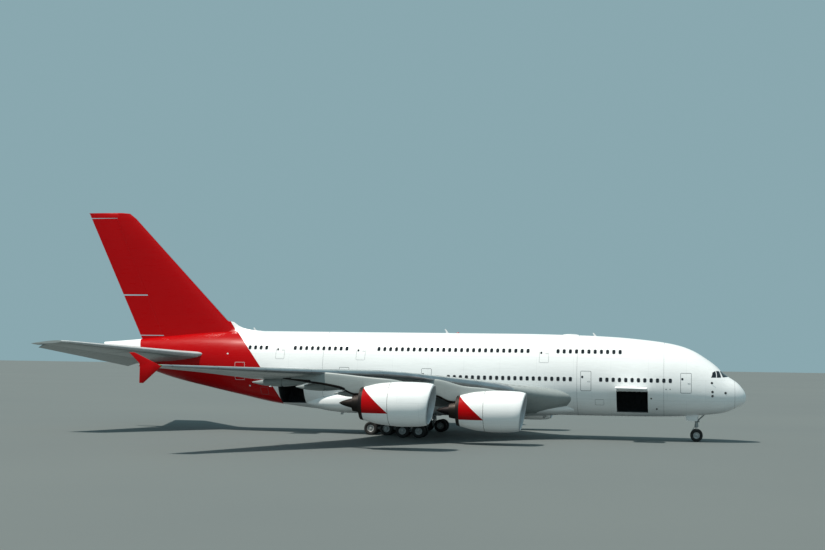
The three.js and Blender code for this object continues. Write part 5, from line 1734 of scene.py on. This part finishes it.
# The low dome of the satellite antenna: station, how deep its middle lies, radii
DOME = (17.95, 0.02, (0.9, 0.34, 0.13))
# Air data probes, and drains and connectors low on the side: station, height, and size across
PROBES = ((3.45, 6.05), (3.39, 5.16), (3.39, 4.73), (2.09, 5.06))
DRAINS = ((9.48, 4.38, 0.16), (8.94, 3.31, 0.18), (8.0, 5.35, 0.10), (7.6, 5.36, 0.10))
REAR_VENTS = ((54.81, 8.35), (52.22, 4.92))
# A probe's base and its rim, a vent, the rims of vents and drains, height of all these off the skin
PROBE_BASE, PROBE_RIM = (0.24, 0.24, 0.11, 3, 0), 0.03
VENT_SHAPE, SMALL_RIM, FITTING_LIFT = (0.20, 0.16, 0.07, 3, 0), 0.02, 0.008
TOP_BEACON, LOW_BEACON, BEACON_RADII = 30.0, 33.0, (0.176, 0.11, 0.088)
POSITION_LAMP, LAMP_RADII = (47.80, 39.70, 7.235), (0.22, 0.06, 0.08)
# Wicks that shed static charge from the wing's trailing edge: number, first one, spacing
WICKS = (5, 38.1, 0.36)


class AIRLINER_OT_fittings(bpy.types.Operator):
    """Antennas, probes, lamps and static wicks"""

    bl_idname = "airliner.fittings"
    bl_label = "Fittings"

    def execute(self, context):
        bm = bmesh.new()
        for station, height in TOP_ANTENNAS:
            top = hull_at(station)[0]
            blade = [(station + x, top + (height if z == 1 else z)) for x, z in TOP_BLADE]
            plate(bm, blade, -ANTENNA_HALF, ANTENNA_HALF, "y", ANTENNA_EASE)
        for station in LOW_ANTENNAS:
            low = fairing_at(station)[2]
            blade = [(station + x, low + z) for x, z in LOW_BLADE]
            plate(bm, blade, -ANTENNA_HALF, ANTENNA_HALF, "y", ANTENNA_EASE)
        x, sunk, radii = DOME
        ball(bm, 32, 16, (x, 0, hull_at(x)[0] - sunk), radii)
        add_piece("antennas", bm, "radome")

        bm = bmesh.new()
        for x, z in PROBES:
            root, tip = on_hull(x, z, -0.02), on_hull(x, z, 0.11)
            rod(bm, root, tip, 0.022, 0.016, 12)
            rod(bm, tip + X_AXIS * 0.03, tip - X_AXIS * 0.2, 0.016, 0.009, 12)
            on_skin(bm, x, z, PROBE_BASE, PROBE_RIM, FITTING_LIFT, "dark", "dark")
        for x, z, across in DRAINS:
            shape = (across, across, across * 0.45, 3, 0)
            on_skin(bm, x, z, shape, SMALL_RIM, FITTING_LIFT, "dark", "dark")
        add_both("air_data_probes", bm, "bare")

        bm = bmesh.new()
        for x, z in REAR_VENTS:
            on_skin(bm, x, z, VENT_SHAPE, SMALL_RIM, FITTING_LIFT, "own")
        add_both("rear_vents", bm, "pale_outline")

        bm = bmesh.new()
        ball(bm, 20, 12, (TOP_BEACON, 0, hull_at(TOP_BEACON)[0]), BEACON_RADII)
        ball(bm, 20, 12, (LOW_BEACON, 0, fairing_at(LOW_BEACON)[2]), BEACON_RADII)
        add_piece("beacon_lamps", bm, "red_lens")
        x, y, z = POSITION_LAMP
        for side, way in SIDES:
            bm = bmesh.new()
            ball(bm, 16, 10, (x, way * y, z), LAMP_RADII)
            add_piece(f"{side}_position_lamp", bm, "green_lens" if way > 0 else "red_lens")

        bm = bmesh.new()
        count, first, pitch = WICKS
        for k in range(count):
            tail = surface_point(straight(WING, first + pitch * k), 1.0, -1, WING_CAMBER)
            rod(bm, tail - X_AXIS * 0.03, tail + Vector((0.22, 0, -0.01)), 0.009, 0.006, 8)
        add_both("static_wicks", bm, "hose")
        return {"FINISHED"}


FLOOR_HALF = 600
FLOOR_SECOND_TONE = "#606768"
SKY, SKY_STRENGTH = "#92B2BA", 0.88
# Suns: name, direction that the light comes from, strength, spread in degrees, colour
SUNS = (
    ("key_light", (-0.32, -0.32, 1.0), 4.4, 2.0, "#FFF8EE"),
    ("fill_light", (0.3, -1.0, 0.45), 0.1, 40.0, "#DCE9F4"),
)
# The camera: yaw, pitch and roll in degrees, place in the frame, focal length in picture widths, sensor
# width and far limit
CAMERA_TURNS = (11.511, 3.502, 0.823)
CAMERA_PLACE = (15.369, -72.252, 4.044)
CAMERA_FOCUS = 1366.03 / 825
CAMERA_SENSOR = 36
CAMERA_FAR = 3000


class AIRLINER_OT_stage(bpy.types.Operator):
    """Plain floor, soft light and the camera"""

    bl_idname = "airliner.stage"
    bl_label = "Stage"

    def execute(self, context):
        scene = context.scene
        mesh = bpy.data.meshes.new("floor")
        bm = bmesh.new()
        bmesh.ops.create_grid(bm, x_segments=8, y_segments=8, size=FLOOR_HALF)
        bm.to_mesh(mesh)
        bm.free()
        floor = bpy.data.objects.new("floor", mesh)
        scene.collection.objects.link(floor)
        material, tree, shader = new_finish("pale_screed_floor", Roughness=0.85)
        place = add_node(tree, "ShaderNodeTexCoord").outputs["Object"]
        drift = add_node(tree, "ShaderNodeTexNoise", {"Vector": place, "Scale": 0.05, "Detail": 4.0})
        tones = (rgba(scene.airliner_colours.floor), rgba(linear(FLOOR_SECOND_TONE)))
        tone = add_node(
            tree, "ShaderNodeMix", {0: drift.outputs["Fac"], 6: tones[0], 7: tones[1]}, data_type="RGBA")
        link_surface(tree, shader, tone.outputs[2])
        mesh.materials.append(material)

        world = bpy.data.worlds.new("studio")
        scene.world = world
        world.use_nodes = True
        background = world.node_tree.nodes["Background"].inputs
        background["Color"].default_value = rgba(linear(SKY))
        background["Strength"].default_value = SKY_STRENGTH
        for name, source, strength, degrees, colour in SUNS:
            light = bpy.data.lights.new(name, "SUN")
            light.energy = strength
            light.angle = math.radians(degrees)
            light.color = linear(colour)
            lamp = bpy.data.objects.new(name, light)
            lamp.rotation_euler = Vector(source).to_track_quat("Z", "Y").to_euler()
            scene.collection.objects.link(lamp)
        self.camera(scene)
        # Paint colours show as they are, and sunlit white reaches full white
        scene.view_settings.view_transform = "Standard"
        return {"FINISHED"}

    def camera(self, scene):
        """The camera, where the photograph's one stood: to starboard and a little ahead of the wing."""
        yaw, pitch, roll = map(math.radians, CAMERA_TURNS)
        forward = Vector((-math.sin(yaw) * math.cos(pitch), math.cos(yaw) * math.cos(pitch), math.sin(pitch)))
        right = Vector((math.cos(yaw), math.sin(yaw), 0))
        up = right.cross(forward)
        across = right * math.cos(roll) + up * math.sin(roll)
        upright = up * math.cos(roll) - right * math.sin(roll)
        data = bpy.data.cameras.new("camera")
        data.sensor_width = CAMERA_SENSOR
        data.lens = CAMERA_FOCUS * CAMERA_SENSOR
        data.clip_end = CAMERA_FAR
        camera = bpy.data.objects.new("camera", data)
        turn = Matrix((across, upright, -forward)).transposed().to_4x4()
        camera.matrix_world = Matrix.Translation(CAMERA_PLACE) @ turn
        scene.collection.objects.link(camera)
        scene.camera = camera


STEPS = (
    AIRLINER_OT_stage, AIRLINER_OT_fuselage, AIRLINER_OT_holds, AIRLINER_OT_windows, AIRLINER_OT_wings,
    AIRLINER_OT_tail, AIRLINER_OT_engines, AIRLINER_OT_gear, AIRLINER_OT_seams, AIRLINER_OT_fittings,
)


class AIRLINER_PT_panel(bpy.types.Panel):
    """Lists the airliner's pieces, sizes and colours"""

    bl_idname = "AIRLINER_PT_panel"
    bl_label = "Wide Body Airliner"
    bl_space_type = "VIEW_3D"
    bl_region_type = "UI"
    bl_category = "Airliner"

    def draw(self, context):
        for group in (context.scene.airliner_sizes, context.scene.airliner_colours):
            for name in group.__annotations__:
                self.layout.prop(group, name)
        for step in STEPS:
            self.layout.operator(step.bl_idname)


CLASSES = (AirlinerSizes, AirlinerColours, *STEPS, AIRLINER_PT_panel)


def register():
    for cls in CLASSES:
        bpy.utils.register_class(cls)
    bpy.types.Scene.airliner_sizes = bpy.props.PointerProperty(type=AirlinerSizes)
    bpy.types.Scene.airliner_colours = bpy.props.PointerProperty(type=AirlinerColours)


def unregister():
    del bpy.types.Scene.airliner_colours
    del bpy.types.Scene.airliner_sizes
    for cls in reversed(CLASSES):
        bpy.utils.unregister_class(cls)


def main():
    register()
    for step in STEPS:
        module, name = step.bl_idname.split(".")
        getattr(getattr(bpy.ops, module), name)()


if __name__ == "__main__":
    main()
